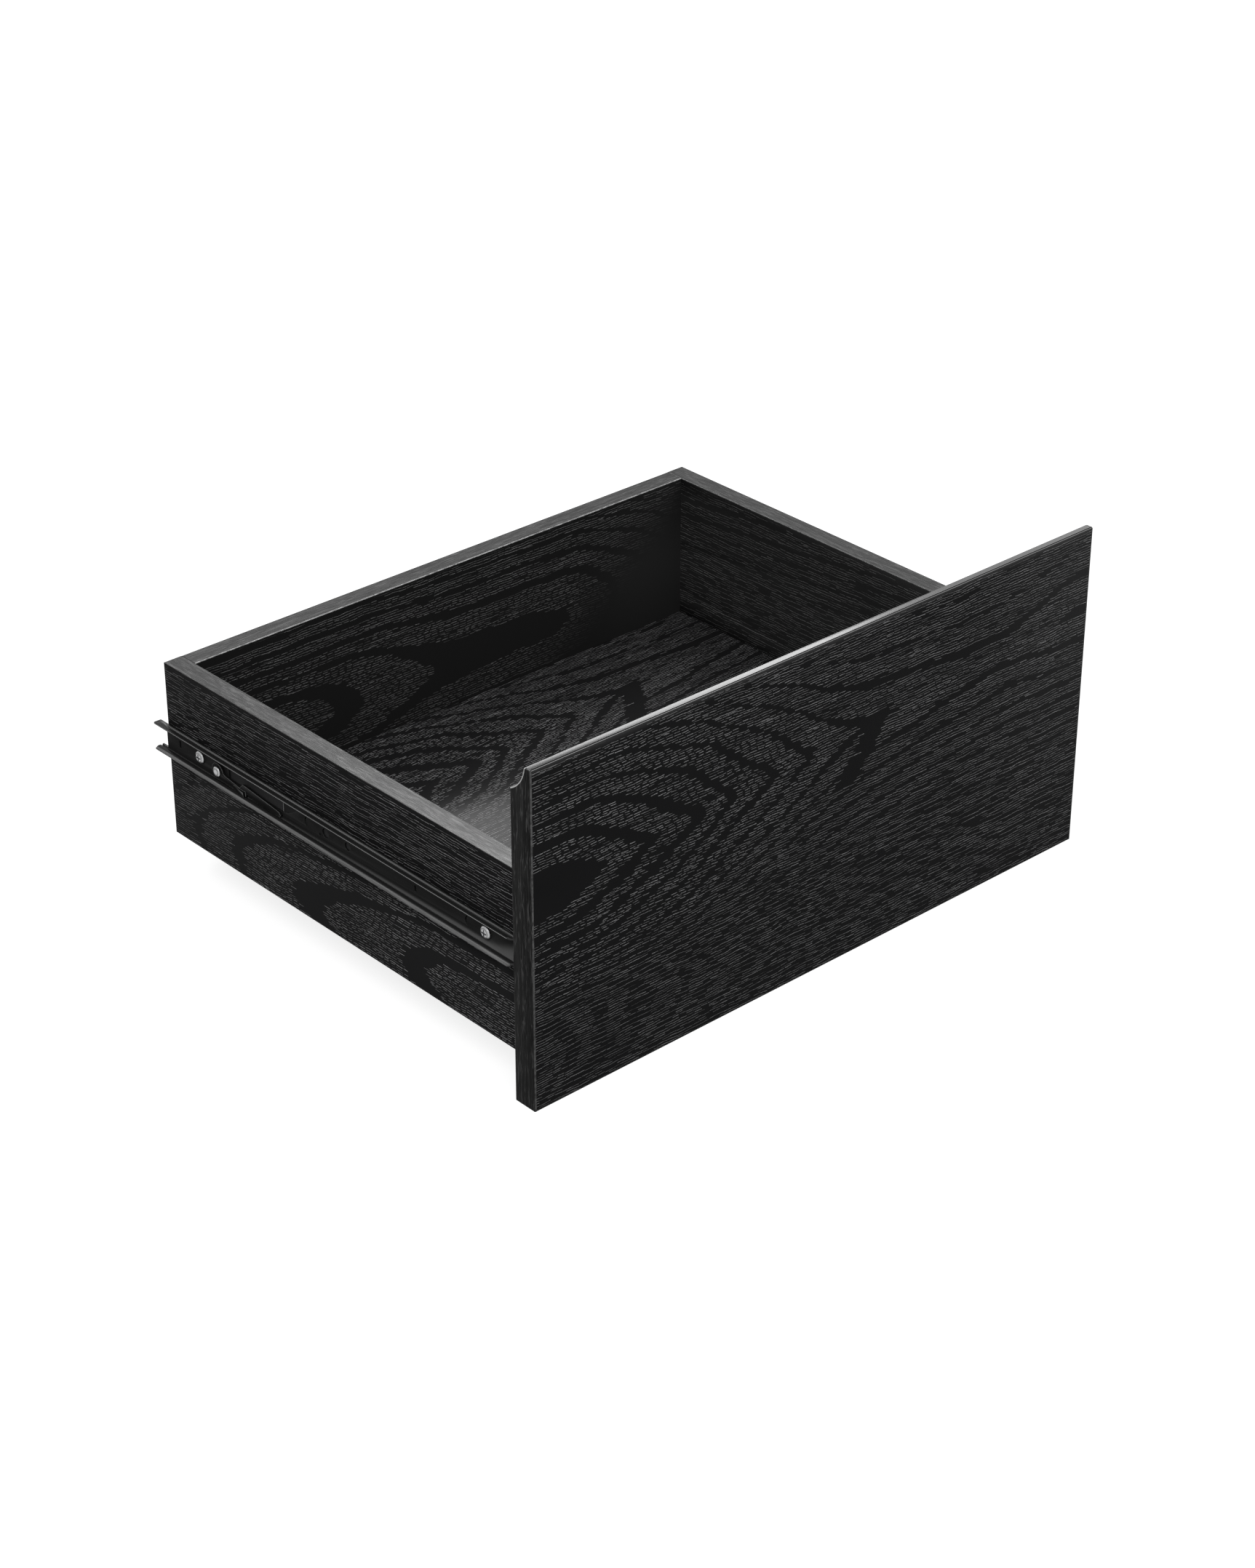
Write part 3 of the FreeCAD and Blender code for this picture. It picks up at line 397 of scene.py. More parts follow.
class Figure:
    """The wood figure on one board, in mm. A phase counts its rings: whole numbers are their middles."""

    def __init__(self, name, along, across, start, phases, **changes):
        self.name = name
        # The object's axis and sign along the grain and across it, and where the figure starts on both
        self.along = along
        self.across = across
        self.start = start
        # Phases at places along the figure's axis, which climbs by the slope
        self.phases = phases
        self.slope = 0.0
        # How much of the distance from the axis counts above it, and how the phase grows with distance
        self.upper_share = 0.8
        self.arch = (0.045, 0.00065)
        self.flank = (-0.6, 0.05, 0.001)
        self.crowding = (70.0, 0.1)
        # Below this phase all is dark
        self.core = 0.1
        # Half widths of rings 0 and 6, and the share that is left of them above the axis
        self.ring_widths = (0.21, 0.11)
        self.upper_ring = 1.0
        # A dark bar across the rings: middle, lean, half width, lowest and highest offset
        self.bar = None
        # Phases between which the rings fade, how dark they are and how full the strokes are beyond them,
        # and how dark the rings stay below the axis
        self.fade = (6.0, 8.5)
        self.far = (0.25, 0.94)
        self.low_depth = 0.72
        # How many phases before the fade the strokes begin to run on into one another
        self.run_in = 3.0
        # How far the rings wander
        self.waver = 3.8
        self.density = 0.95
        self.seed = 0.0
        for label, value in changes.items():
            setattr(self, label, value)


# The height of a phase curve, in phases. Its middle is phase 0.
PHASE_SPAN = 12.0

# Added to a phase to keep it positive, with a whole number half-way through a cycle
PHASE_LIFT = 20.5

# How far apart the noise of two figures is taken, and how it is stretched to bend rings and thin out rows
SEED_STEP = Vector((613.0, 271.0, 0.0))
WANDER_SCALE = (0.016, 0.040, 1.0)
ROW_SCALE = (0.032, 0.48, 1.0)

# How much a ring's half width varies, the ring by which it has narrowed, and the offsets from the axis, in
# mm, between which it narrows once more and between which the rings' depth changes to that above the axis
RING_WIDTH_SPREAD = 0.12
LAST_RING = 6.0
NARROWING_OFFSETS = (5.0, 45.0)
DEPTH_OFFSETS = (-20.0, 40.0)
BAR_DEPTH = 0.85

# Where the rings have faded, the rows' uneven fullness has come half-way to this
EVEN_FULLNESS = 0.92


def phase_curve(tree, figure, along):
    """The ring phase at a place along the figure's axis."""
    first, last = figure.phases[0][0], figure.phases[-1][0]
    reach = ranged(tree, along, first, last, smooth=False)
    curve = put(tree, "ShaderNodeFloatCurve", {"Value": reach})
    points = curve.mapping.curves[0].points
    while len(points) < len(figure.phases):
        points.new(0.5, 0.5)
    for point, (place, phase) in zip(points, figure.phases):
        point.location = ((place - first) / (last - first), 0.5 + phase / PHASE_SPAN)
        point.handle_type = "AUTO_CLAMPED"
    curve.mapping.update()
    return times(tree, minus(tree, curve.outputs[0], 0.5), PHASE_SPAN)


def ring_phase(tree, figure, parts, wander):
    """The phase at a place on the board, and how far that place is above the figure's axis."""
    sway = times(tree, minus(tree, wander["Red"], 0.5), figure.waver * 3.0)
    bend = times(tree, minus(tree, wander["Green"], 0.5), figure.waver)
    along = plus(tree, parts["X"], sway)
    axis = times(tree, parts["X"], figure.slope)
    offset = plus(tree, minus(tree, parts["Y"], axis), bend)
    arch, arch_square = figure.arch
    flank_start, flank, flank_square = figure.flank
    crowding_from, crowding = figure.crowding
    shape = grouped(tree, RING_SHAPE, Axis_Phase=phase_curve(tree, figure, along), Offset=offset,
                    Upper_Share=figure.upper_share, Arch=arch, Arch_Square=arch_square,
                    Flank_Start=flank_start, Flank=flank, Flank_Square=flank_square,
                    Crowding_From=crowding_from, Crowding=crowding)
    return shape["Phase"], offset


def ring_marks(tree, figure, phase, offset, spread):
    """1 in the dark rings."""
    cycle = calc(tree, "FRACT", plus(tree, phase, PHASE_LIFT))
    from_ring = size_of(tree, minus(tree, cycle, 0.5))
    wide, narrow = (width - RING_WIDTH_SPREAD / 2 for width in figure.ring_widths)
    width = times_plus(tree, spread, RING_WIDTH_SPREAD, ranged(tree, phase, 0.0, LAST_RING, wide, narrow))
    width = times(tree, width, ranged(tree, offset, *NARROWING_OFFSETS, 1.0, figure.upper_ring))
    return calc(tree, "LESS_THAN", from_ring, width)


def bar_mark(tree, bar, along, offset):
    """1 in a short bar that leans across the rings."""
    middle, lean, half_width, low, high = bar
    leaning = times_plus(tree, offset, -lean, minus(tree, along, middle))
    across_bar = near(tree, leaning, 0.0, half_width, 0.1)
    along_bar = near(tree, offset, (low + high) / 2, (high - low) / 2, 0.1)
    return times(tree, across_bar, along_bar)


def make_figure(figure):
    """How many strokes lie at a place: none in the dark rings, many between them."""
    tree, given, result = new_group(figure.name, ["Vector"], ["Density", "Far"])
    place = given["Vector"]
    seeded = vector_calc(tree, "ADD", place, SEED_STEP * figure.seed)
    wander = channels(tree, noise(tree, scaled(tree, seeded, *WANDER_SCALE), output="Color"))
    parts = separate(tree, place)
    phase, offset = ring_phase(tree, figure, parts, wander)
    ring = ring_marks(tree, figure, phase, offset, wander["Blue"])
    fade_from, fade_to = figure.fade
    far_depth, far_fullness = figure.far
    low_depth = ranged(tree, offset, *DEPTH_OFFSETS, figure.low_depth, far_depth)
    depth = ranged(tree, phase, fade_from, fade_to, 1.0, low_depth)
    core = calc(tree, "LESS_THAN", phase, figure.core)
    dark = calc(tree, "MAXIMUM", times(tree, ring, depth), core)
    if figure.bar:
        bar = times(tree, bar_mark(tree, figure.bar, parts["X"], offset), BAR_DEPTH)
        dark = calc(tree, "MAXIMUM", dark, bar)
    rows = noise(tree, scaled(tree, seeded, *ROW_SCALE))
    far = ranged(tree, phase, fade_from - figure.run_in, fade_to)
    uneven = ranged(tree, rows, 0.32, 0.58, 0.70, 1.06)
    uneven = times_plus(tree, minus(tree, EVEN_FULLNESS, uneven), times(tree, far, 0.5), uneven)
    fullness = times(tree, ranged(tree, phase, fade_from, fade_to, 1.0, far_fullness), figure.density)
    light = times(tree, uneven, fullness)
    fill(tree, result, {"Density": lessened(tree, light, dark), "Far": far})
    return tree


def board_place(tree, figure, far_face=None):
    """The print's own coordinates on a board: grain along X, the figure's axis on Y = 0.

    The far face is (axis, level, slip along, slip across): beyond the level the print has slipped."""
    parts = separate(tree, object_mm(tree))
    along_axis, along_sign = figure.along
    across_axis, across_sign = figure.across
    start_along, start_across = figure.start
    along = times_plus(tree, parts[along_axis], along_sign, -start_along)
    across = times_plus(tree, parts[across_axis], across_sign, -start_across)
    if far_face:
        axis, level, slip_along, slip_across = far_face
        beyond = calc(tree, "GREATER_THAN", parts[axis], level)
        along = times_plus(tree, beyond, slip_along, along)
        across = times_plus(tree, beyond, slip_across, across)
    return combine(tree, along, across), parts


# The print's rows, in mm: cell length and stroke width, and for the sparse rows half-way between them the
# share that is kept
ROW_PITCH = 1.46
FULL_ROW = (5.2, 0.32)
HALF_ROW = (4.0, 0.24, 0.24)
HALF_ROW_SHADE = 0.8
HALF_ROW_SEED = 40.0
ROW_SWAY = (2.0, 3.6, 0.0)
DASH_SCALE = (0.45, 1.4, 1.0)
# How dark the painted shadows at the strokes' rims are
RIM_SHADOW_DEPTH = 0.97

# Where the rings have faded: how much longer and duller strokes are, and how much the sparse rows thin out
FAR_REACH = 0.13
FAR_DULLING = 0.20
FAR_THINNING = 0.7


def stroke_layer(tree, figure_group, place, seed, length, width, share=1.0):
    """One layer of strokes and the painted shadows at their rims, for cells of this length and strokes of
    this width.
    """
    cells = grouped(tree, PORE_CELLS, Vector=place, Pitch=ROW_PITCH, Length=length, Seed=seed)
    figured = grouped(tree, figure_group, Vector=cells["Centre"])
    fewer = times_plus(tree, figured["Far"], (1.0 - share) * -FAR_THINNING, 1.0)
    density = times(tree, figured["Density"], times(tree, fewer, share))
    stroke = grouped(tree, PORE_STROKE, Along=cells["Along"], Across=cells["Across"], Chance=cells["Chance"],
                     Tone=cells["Tone"], Stagger=cells["Stagger"], Density=density, Length=length,
                     Width=width, Reach=times(tree, figured["Far"], FAR_REACH))
    shade = ranged(tree, cells["Tone"], 0.1, 0.9, 0.30, 1.0, smooth=False)
    shade = lessened(tree, shade, figured["Far"], FAR_DULLING)
    return times(tree, stroke["Mask"], shade), stroke["Rim Shadow"]


def stroke_rows(tree, figure, place):
    """The print's strokes and the painted shadows at their rims, in full rows and in sparse rows half-way
    between them.
    """
    wobble = noise(tree, place, scale=0.03, detail=3.5, roughness=0.6, output="Color")
    jitter = vector_calc(tree, "SUBTRACT", wobble, (0.5, 0.5, 0.5))
    bent = vector_calc(tree, "ADD", place, scaled(tree, jitter, *ROW_SWAY))
    half_way = vector_calc(tree, "ADD", bent, (0.0, ROW_PITCH / 2, 0.0))
    group = make_figure(figure)
    full, full_rim_shadow = stroke_layer(tree, group, bent, figure.seed, *FULL_ROW)
    sparse, sparse_rim_shadow = stroke_layer(tree, group, half_way, figure.seed + HALF_ROW_SEED, *HALF_ROW)
    strokes = calc(tree, "MAXIMUM", full, times(tree, sparse, HALF_ROW_SHADE))
    dashes = ranged(tree, noise(tree, scaled(tree, place, *DASH_SCALE)), 0.32, 0.60, 0.45, 1.0)
    rim_shadows = calc(tree, "MAXIMUM", full_rim_shadow, sparse_rim_shadow)
    return times(tree, strokes, dashes), times(tree, rim_shadows, RIM_SHADOW_DEPTH)


def facing_up(tree, low=0.35, high=0.8):
    """1 on faces that look upwards."""
    return ranged(tree, object_normal(tree)["Z"], low, high)


def lengthwise(tree, parts, axis, fineness=1.0):
    """Fine streaks along one axis of the object."""
    others = [other for other in "XYZ" if other != axis]
    place = combine(tree, parts[axis], parts[others[0]], parts[others[1]])
    return grouped(tree, FINE_STREAKS, Vector=place, Fineness=fineness)["Streak"]


LAMINATE_BLACK = (0.0073, 0.0073, 0.0076, 1.0)
LAMINATE_MOTTLE = (0.0095, 0.0095, 0.0097, 1.0)
RIM_SHADOW_BLACK = (0.0012, 0.0012, 0.0013, 1.0)
PORE_GREY = (0.240, 0.240, 0.243, 1.0)
LOWER_BLACK = (0.0122, 0.0122, 0.0125, 1.0)
SLIDE_SHADE_BLACK = (0.030, 0.030, 0.0305, 1.0)
CORNER_BLACK = grey(0.020)
PULL_RIM_HIGHLIGHT_GREY = grey(0.45)
ARRIS_HIGHLIGHT_GREY = grey(0.19)
HAZE_AND_SHEEN_GREY = grey(0.16)
EDGE_GLOSS_ROUGHNESS = 0.2

# Painted light and shade inside the box: the ground's tone at the foot and at the top, paler at the foot
# against the light's falloff there, and the strokes' tone, dimmer than outside
LEFT_INSIDE_SHADING = (0.0130, 0.0130, 0.105)
RIGHT_INSIDE_SHADING = (0.0145, 0.0160, 0.155)
BACK_INSIDE_SHADING = (0.0135, 0.0072, 0.15)
# The share of the rims' painted shadow that is lost inside the box
INSIDE_RIM_SHADOW_LOSS = 0.6

# On the sides' outer faces, in mm: the heights between which they grow paler downwards, and how far inside
# the slide's edges the strip without strokes ends, a flat tone painted as the shade behind the slide
LOWER_HEIGHTS = (58.0, 74.0)
SLIDE_SHADE_INSET = 1.0

# How softly the strokes end below a board's top, in mm
CLEAR_SOFT = 0.8

# The back's strokes die away along a slant to its lower right, where its corner is paler, in mm
SLANT_LEVEL = 75.0
SLANT_LEAN = -1.2
SLANT_FADING = (70.0, 150.0)
CORNER_REACH = (90.0, 175.0)
CORNER_HEIGHTS = (65.0, 115.0)


def laminate_print(name, figure, far_face=None, clear_above=None, slide_side=False, inside_tones=None,
                   fading=False):
    """Black laminate with the print's short pore strokes pressed into it and painted shadows at their rims.
    Its colour isn't linked yet.
    """
    material, tree, shader = new_material(name)
    place, parts = board_place(tree, figure, far_face)
    strokes, rim_shadows = stroke_rows(tree, figure, place)
    ground = blended(tree, noise(tree, place, scale=0.035, detail=3.0), LAMINATE_BLACK, LAMINATE_MOTTLE)
    pore = PORE_GREY
    bare = []
    if clear_above is not None:
        bare.append(ranged(tree, parts["Z"], clear_above - CLEAR_SOFT, clear_above))
    if slide_side:
        outer = calc(tree, "GREATER_THAN", size_of(tree, parts["X"]), SIDE_OUTER - 1.0)
        lower = times(tree, ranged(tree, parts["Z"], *LOWER_HEIGHTS, 1.0, 0.0), outer)
        # Behind the slide the strokes give way to a flat tone: painted shade, seen through the slide's window
        half_height = (SLIDE_HIGH.z - SLIDE_LOW.z) / 2 - SLIDE_SHADE_INSET
        slide_shade = times(tree, near(tree, parts["Z"], SLIDE_AXIS, half_height, 0.2), outer)
        ground = blended(tree, lower, ground, LOWER_BLACK)
        ground = blended(tree, slide_shade, ground, SLIDE_SHADE_BLACK)
        bare.append(slide_shade)
    # Inside the box the ground and the strokes take painted light and shade
    if inside_tones:
        low_tone, high_tone, pore_tone = inside_tones
        within = calc(tree, "LESS_THAN", size_of(tree, parts["X"]), SIDE_MIDDLE)
        inside = times(tree, within, calc(tree, "LESS_THAN", parts["Y"], BACK_MIDDLE))
        height = ranged(tree, parts["Z"], SIDE_LOW.z, BOX_TOP, smooth=False)
        ground = blended(tree, inside, ground, blended(tree, height, grey(low_tone), grey(high_tone)))
        pore = blended(tree, inside, PORE_GREY, grey(pore_tone))
        rim_shadows = lessened(tree, rim_shadows, inside, INSIDE_RIM_SHADOW_LOSS)
        if fading:
            slant = times_plus(tree, minus(tree, parts["Z"], SLANT_LEVEL), SLANT_LEAN, parts["X"])
            bare.append(times(tree, ranged(tree, slant, *SLANT_FADING), inside))
            corner = times(tree, ranged(tree, parts["X"], *CORNER_REACH), inside,
                           ranged(tree, parts["Z"], *CORNER_HEIGHTS, 1.0, 0.2))
            ground = blended(tree, corner, ground, CORNER_BLACK)
    for mask in bare:
        strokes = lessened(tree, strokes, mask)
        rim_shadows = lessened(tree, rim_shadows, mask)
    # The rims' painted shadow darkens the ground beside the strokes
    colour = blended(tree, strokes, blended(tree, rim_shadows, ground, RIM_SHADOW_BLACK), pore)
    grain = noise(tree, scaled(tree, place, 0.4, 3.0, 1.0))
    rough = times_plus(tree, strokes, 0.12, times_plus(tree, grain, 0.12, 0.40))
    height = times_plus(tree, grain, 0.15, times(tree, strokes, -1.0))
    bumped(tree, shader, height, strength=0.35, distance=0.00008)
    fill(tree, shader, {"Roughness": rough, "Specular IOR Level": 0.004,
                        "Coat Roughness": EDGE_GLOSS_ROUGHNESS})
    return material, tree, shader, parts, colour


def laminate(name, figure, gloss=0.0, **zones):
    """A board's laminate, with the zones that laminate_print knows."""
    material, tree, shader, _, colour = laminate_print(name, figure, **zones)
    fill(tree, shader, {"Base Color": colour, "Coat Weight": gloss})
    return material


def front_laminate():
    """The front's laminate, with its wrapped top edge: a smooth land and a painted highlight along the arris,
    and a painted sheen towards its upper right corner.
    """
    clear = FRONT_HIGH.z - WRAPPED_EDGE
    material, tree, shader, parts, colour = laminate_print(
        "front_laminate", FRONT_FIGURE, far_face=("Y", REAR_PRINT_FROM, 61.0, -35.0), clear_above=clear)
    haze = ranged(tree, parts["Z"], clear - HAZE_BELOW, clear + HAZE_ABOVE)
    colour = blended(tree, times(tree, haze, HAZE_DEPTH), colour, HAZE_AND_SHEEN_GREY)
    # A painted sheen lightens the front towards its upper right corner
    to_right = ranged(tree, parts["X"], PAINTED_SHEEN_FROM, FRONT_HIGH.x)
    to_top = ranged(tree, parts["Z"], *PAINTED_SHEEN_HEIGHTS, 0.1, 1.0)
    colour = blended(tree, times(tree, to_right, to_top, PAINTED_SHEEN_DEPTH), colour, HAZE_AND_SHEEN_GREY)
    up = facing_up(tree)
    land = blended(tree, lengthwise(tree, parts, "X", 0.8), grey(0.022), grey(0.05))
    colour = blended(tree, up, colour, land)
    # A painted highlight along the front's top arris
    arris_from, arris_to = (FRONT_HIGH.z - drop for drop in ARRIS_DROPS)
    arris = times(tree, near(tree, parts["Y"], FRONT_LOW.y, ARRIS_HALF_WIDTH),
                  ranged(tree, parts["Z"], arris_from, arris_to))
    colour = blended(tree, times(tree, arris, 0.9), colour, ARRIS_HIGHLIGHT_GREY)
    groove = times(tree, near(tree, parts["Y"], FRONT_LOW.y + GROOVE_INSET, GROOVE_HALF_WIDTH), up)
    colour = blended(tree, groove, colour, LAMINATE_BLACK)
    fill(tree, shader, {"Base Color": colour, "Coat Weight": lessened(tree, up, groove)})
    return material


def vein(tree, parts, axis):
    """Thin pale veins that wander along one axis of the object."""
    stretch = {label: 0.030 if label == axis else 0.42 for label in "XYZ"}
    stretched = combine(tree, *(times(tree, parts[label], stretch[label]) for label in "XYZ"))
    level = noise(tree, stretched, detail=3.0, roughness=0.55)
    line = near(tree, level, 0.5, 0.005, 0.022)
    patchiness = ranged(tree, noise(tree, scaled(tree, stretched, 2.2, 2.2, 2.2)), 0.36, 0.58)
    return times(tree, line, patchiness)


def edging(name, along, lines=(), arris_highlights=(), pull=False):
    """Black plastic edging with fine streaks along its length.

    Lines are dark joints, each (axis, level, half width). Arris highlights are highlights painted along
    arrises, each (axis, level, half width, tone)."""
    material, tree, shader = new_material(name)
    place = object_mm(tree)
    parts = separate(tree, place)
    streak = lengthwise(tree, parts, along)
    colour = blended(tree, streak, grey(0.0050), grey(0.020))
    colour = blended(tree, vein(tree, parts, along), colour, grey(0.050))
    highlight_breaks = ranged(tree, noise(tree, place, scale=0.35, detail=3.0), 0.35, 0.6, 0.4, 1.0)
    # Painted highlights along the arrises, broken up by noise
    for axis, level, half_width, tone in arris_highlights:
        on_arris = times(tree, near(tree, parts[axis], level, half_width, 0.1), highlight_breaks)
        colour = blended(tree, on_arris, colour, grey(tone))
    # A painted highlight along the rim of the finger pull's scoop
    if pull:
        colour = blended(tree, times(tree, pull_rim_highlight(tree, parts), 0.9), colour, PULL_RIM_HIGHLIGHT_GREY)
    gloss = times(tree, facing_up(tree), ranged(tree, streak, 0.0, 1.0, 0.40, 0.74))
    for axis, level, half_width in lines:
        joint = times(tree, near(tree, parts[axis], level, half_width, 0.25), 0.5)
        colour = blended(tree, joint, colour, grey(0.004))
        gloss = lessened(tree, gloss, joint, 0.8)
    rough = ranged(tree, streak, 0.0, 1.0, 0.34, 0.5, smooth=False)
    bumped(tree, shader, streak, strength=0.25, distance=0.00006)
    fill(tree, shader, {"Base Color": colour, "Coat Weight": gloss, "Roughness": rough,
                        "Coat Roughness": EDGE_GLOSS_ROUGHNESS, "Specular IOR Level": 0.01})
    return material


def pull_rim_highlight(tree, parts):
    """1 along the rim of the finger pull's scoop, seen from the front's end, where a highlight is painted."""
    land = Vector((FRONT_LOW.y + PULL_LAND, FRONT_HIGH.z))
    foot = Vector((FRONT_LOW.y + FRONT_THICKNESS, FRONT_HIGH.z - PULL_DROP))
    chord = foot - land
    rise = math.sqrt(PULL_RADIUS ** 2 - (chord.length / 2) ** 2)
    centre = (land + foot) / 2 + Vector((-chord.y, chord.x)).normalized() * rise
    reach = combine(tree, minus(tree, parts["Y"], centre.x), minus(tree, parts["Z"], centre.y))
    on_arc = near(tree, length_of(tree, reach), PULL_RADIUS, PULL_RIM_HIGHLIGHT_HALF_WIDTH, 0.1)
    return times(tree, on_arc, calc(tree, "GREATER_THAN", parts["Z"], foot.y - 0.2))


def bevel_highlight(tree, parts):
    """1 on the small bevels that turn away from the drawer's sides, where a highlight is painted."""
    outward = times(tree, object_normal(tree)["X"], calc(tree, "SIGN", parts["X"]))
    return near(tree, outward, 0.7, 0.2, 0.1)


def coated_steel(name):
    """Black coated sheet steel, with highlights painted on its bevels, along its lower lip, its bend and the
    window's edge, and a glint along its cut edge.
    """
    material, tree, shader = new_material(name)
    place = object_mm(tree)
    parts = separate(tree, place)
    skin = noise(tree, place, scale=2.4, detail=3.0, roughness=0.6)
    rolled = lengthwise(tree, parts, "Y", 0.5)
    tone = times_plus(tree, skin, 0.5, times(tree, rolled, 0.5))
    colour = blended(tree, tone, grey(0.0085), grey(0.0135))
    # Painted highlights on the bevels that turn outwards
    colour = blended(tree, bevel_highlight(tree, parts), colour, grey(0.045))
    out = size_of(tree, parts["X"])
    patchiness = noise(tree, scaled(tree, place, 1.0, 0.06, 1.0), detail=3.0)
    # A streaky painted highlight along the lower lip
    lower = calc(tree, "LESS_THAN", parts["Z"], SLIDE_LOW.z + LOWER_LIP_RISE)
    lip_from = SLIDE_LIP - LOWER_LIP_DEPTH
    lip = times(tree, lower, ranged(tree, out, lip_from, lip_from + 0.3))
    colour = blended(tree, lip, colour, blended(tree, patchiness, grey(0.04), grey(0.19)))
    # A painted highlight along the lower flange's bend
    bend = times(tree, lower, near(tree, out, SLIDE_LIP - FLANGE_BEND_DEPTH, 0.1, 0.15))
    colour = blended(tree, bend, colour, grey(0.05))
    # A painted glint along the cut edge, just under the top
    cut_edge = calc(tree, "GREATER_THAN", out, SLIDE_LIP - CUT_EDGE_DEPTH)
    lip_glint = times(tree, cut_edge, near(tree, parts["Z"], SLIDE_HIGH.z - LIP_GLINT_DROP, 0.10, 0.10))
    colour = blended(tree, lip_glint, colour, grey(0.26))
    # A painted highlight along the window's front edge
    window_edge = times(tree, near(tree, parts["Y"], WINDOW_FRONT - 0.25, 0.2, 0.1),
                        near(tree, parts["Z"], SLIDE_LOW.z + WINDOW_EDGE_RISE, WINDOW_EDGE_HALF, 0.3))
    colour = blended(tree, window_edge, colour, grey(0.16))
    crest_from, crest_to = (SLIDE_LIP - depth for depth in CREST_DEPTHS)
    crest = ranged(tree, out, crest_from, crest_to, 0.55, 0.12)
    bumped(tree, shader, skin, strength=0.12, distance=0.00003)
    fill(tree, shader, {"Base Color": colour, "Roughness": ranged(tree, tone, 0.2, 0.8, 0.34, 0.46),
                        "Coat Weight": times(tree, facing_up(tree, 0.15, 0.7), crest),
                        "Coat Roughness": 0.25, "Specular IOR Level": 0.012})
    return material


def bright_zinc(name, tone, dull, heads=()):
    """Zinc plate: bright metal with a fine crystal mottle, and a duller ring round each head's axis.

    A head is (y, z, rise, inner radius, outer radius, share of the tone). Its axis is higher than z by the
    rise on the right side, and lower by as much on the left, whose slide is the other way up."""
    material, tree, shader = new_material(name)
    place = object_mm(tree)
    parts = separate(tree, place)
    cells = put(tree, "ShaderNodeTexVoronoi", {"Vector": place, "Scale": 2.2}, feature="F1")
    grain = channels(tree, cells.outputs["Color"])["Red"]
    haze = noise(tree, place, scale=1.1, detail=3.0)
    mixed = times_plus(tree, grain, 0.4, times(tree, haze, 0.6))
    low = (tone * 0.70, tone * 0.71, tone * 0.72, 1.0)
    high = (tone, tone, tone * 1.01, 1.0)
    colour = blended(tree, mixed, low, high)
    for axis_y, axis_z, rise, inner, outer, share in heads:
        level = times_plus(tree, calc(tree, "SIGN", parts["X"]), rise, axis_z)
        reach = combine(tree, minus(tree, parts["Y"], axis_y), minus(tree, parts["Z"], level))
        in_ring = near(tree, length_of(tree, reach), (inner + outer) / 2, (outer - inner) / 2)
        patchy = ranged(tree, noise(tree, place, scale=0.9), 0.35, 0.6, 0.55, 1.0)
        colour = blended(tree, times(tree, in_ring, patchy), colour, grey(tone * share))
    bumped(tree, shader, haze, strength=0.1, distance=0.00004)
    rough = ranged(tree, mixed, 0.2, 0.8, 0.20 + dull, 0.34 + dull)
    fill(tree, shader, {"Base Color": colour, "Roughness": rough, "Metallic": 1.0})
    return material


def moulded_plastic(name):
    """Black moulded plastic with a fine spark texture, and highlights painted on its bevels."""
    material, tree, shader = new_material(name)
    place = object_mm(tree)
    spark = noise(tree, place, scale=5.5)
    flow = noise(tree, place, scale=0.3)
    colour = blended(tree, flow, grey(0.0050), grey(0.0085))
    # Painted highlights on the lever's bevels
    colour = blended(tree, bevel_highlight(tree, separate(tree, place)), colour, grey(0.13))
    bumped(tree, shader, spark, strength=0.2, distance=0.00003)
    fill(tree, shader, {"Base Color": colour, "Roughness": ranged(tree, spark, 0.3, 0.7, 0.36, 0.50),
                        "Specular IOR Level": 0.006})
    return material


def bare_beech(name):
    """Pale beech with short flecks, for the dowels."""
    material, tree, shader = new_material(name)
    fleck = noise(tree, scaled(tree, object_mm(tree), 1.0, 1.0, 0.5), scale=1.3, detail=3.0)
    bumped(tree, shader, fleck, strength=0.2, distance=0.00005)
    fill(tree, shader, {"Base Color": blended(tree, fleck, (0.44, 0.27, 0.14, 1), (0.62, 0.42, 0.24, 1)),
                        "Roughness": ranged(tree, fleck, 0.2, 0.8, 0.55, 0.7)})
    return material


# Each figure's phase at places along its axis: a whole number is the middle of a dark ring
FRONT_PHASES = [(-90, -2.4), (0, -0.9), (45, 0.1), (78, 1), (110, 2), (134, 3), (162, 4), (188, 5),
                (222, 5.85), (255, 6.15), (330, 6.55), (395, 6.85), (460, 7.4)]
SIDE_PHASES = [(-400, -0.9), (-290, 0.2), (-222, 0.85), (-196, 1.15), (-134, 1.87), (-106, 2.15), (-58, 3),
               (-22, 4), (15, 5), (60, 5.9)]
BACK_PHASES = [(-60, 0.2), (0, 0.4), (92, 0.85), (113, 1.15), (165, 1.85), (272, 2.15), (306, 3), (340, 4),
               (370, 5), (420, 5.9)]
STRAIGHT_PHASES = [(-100, 0.0), (400, 2.2)]

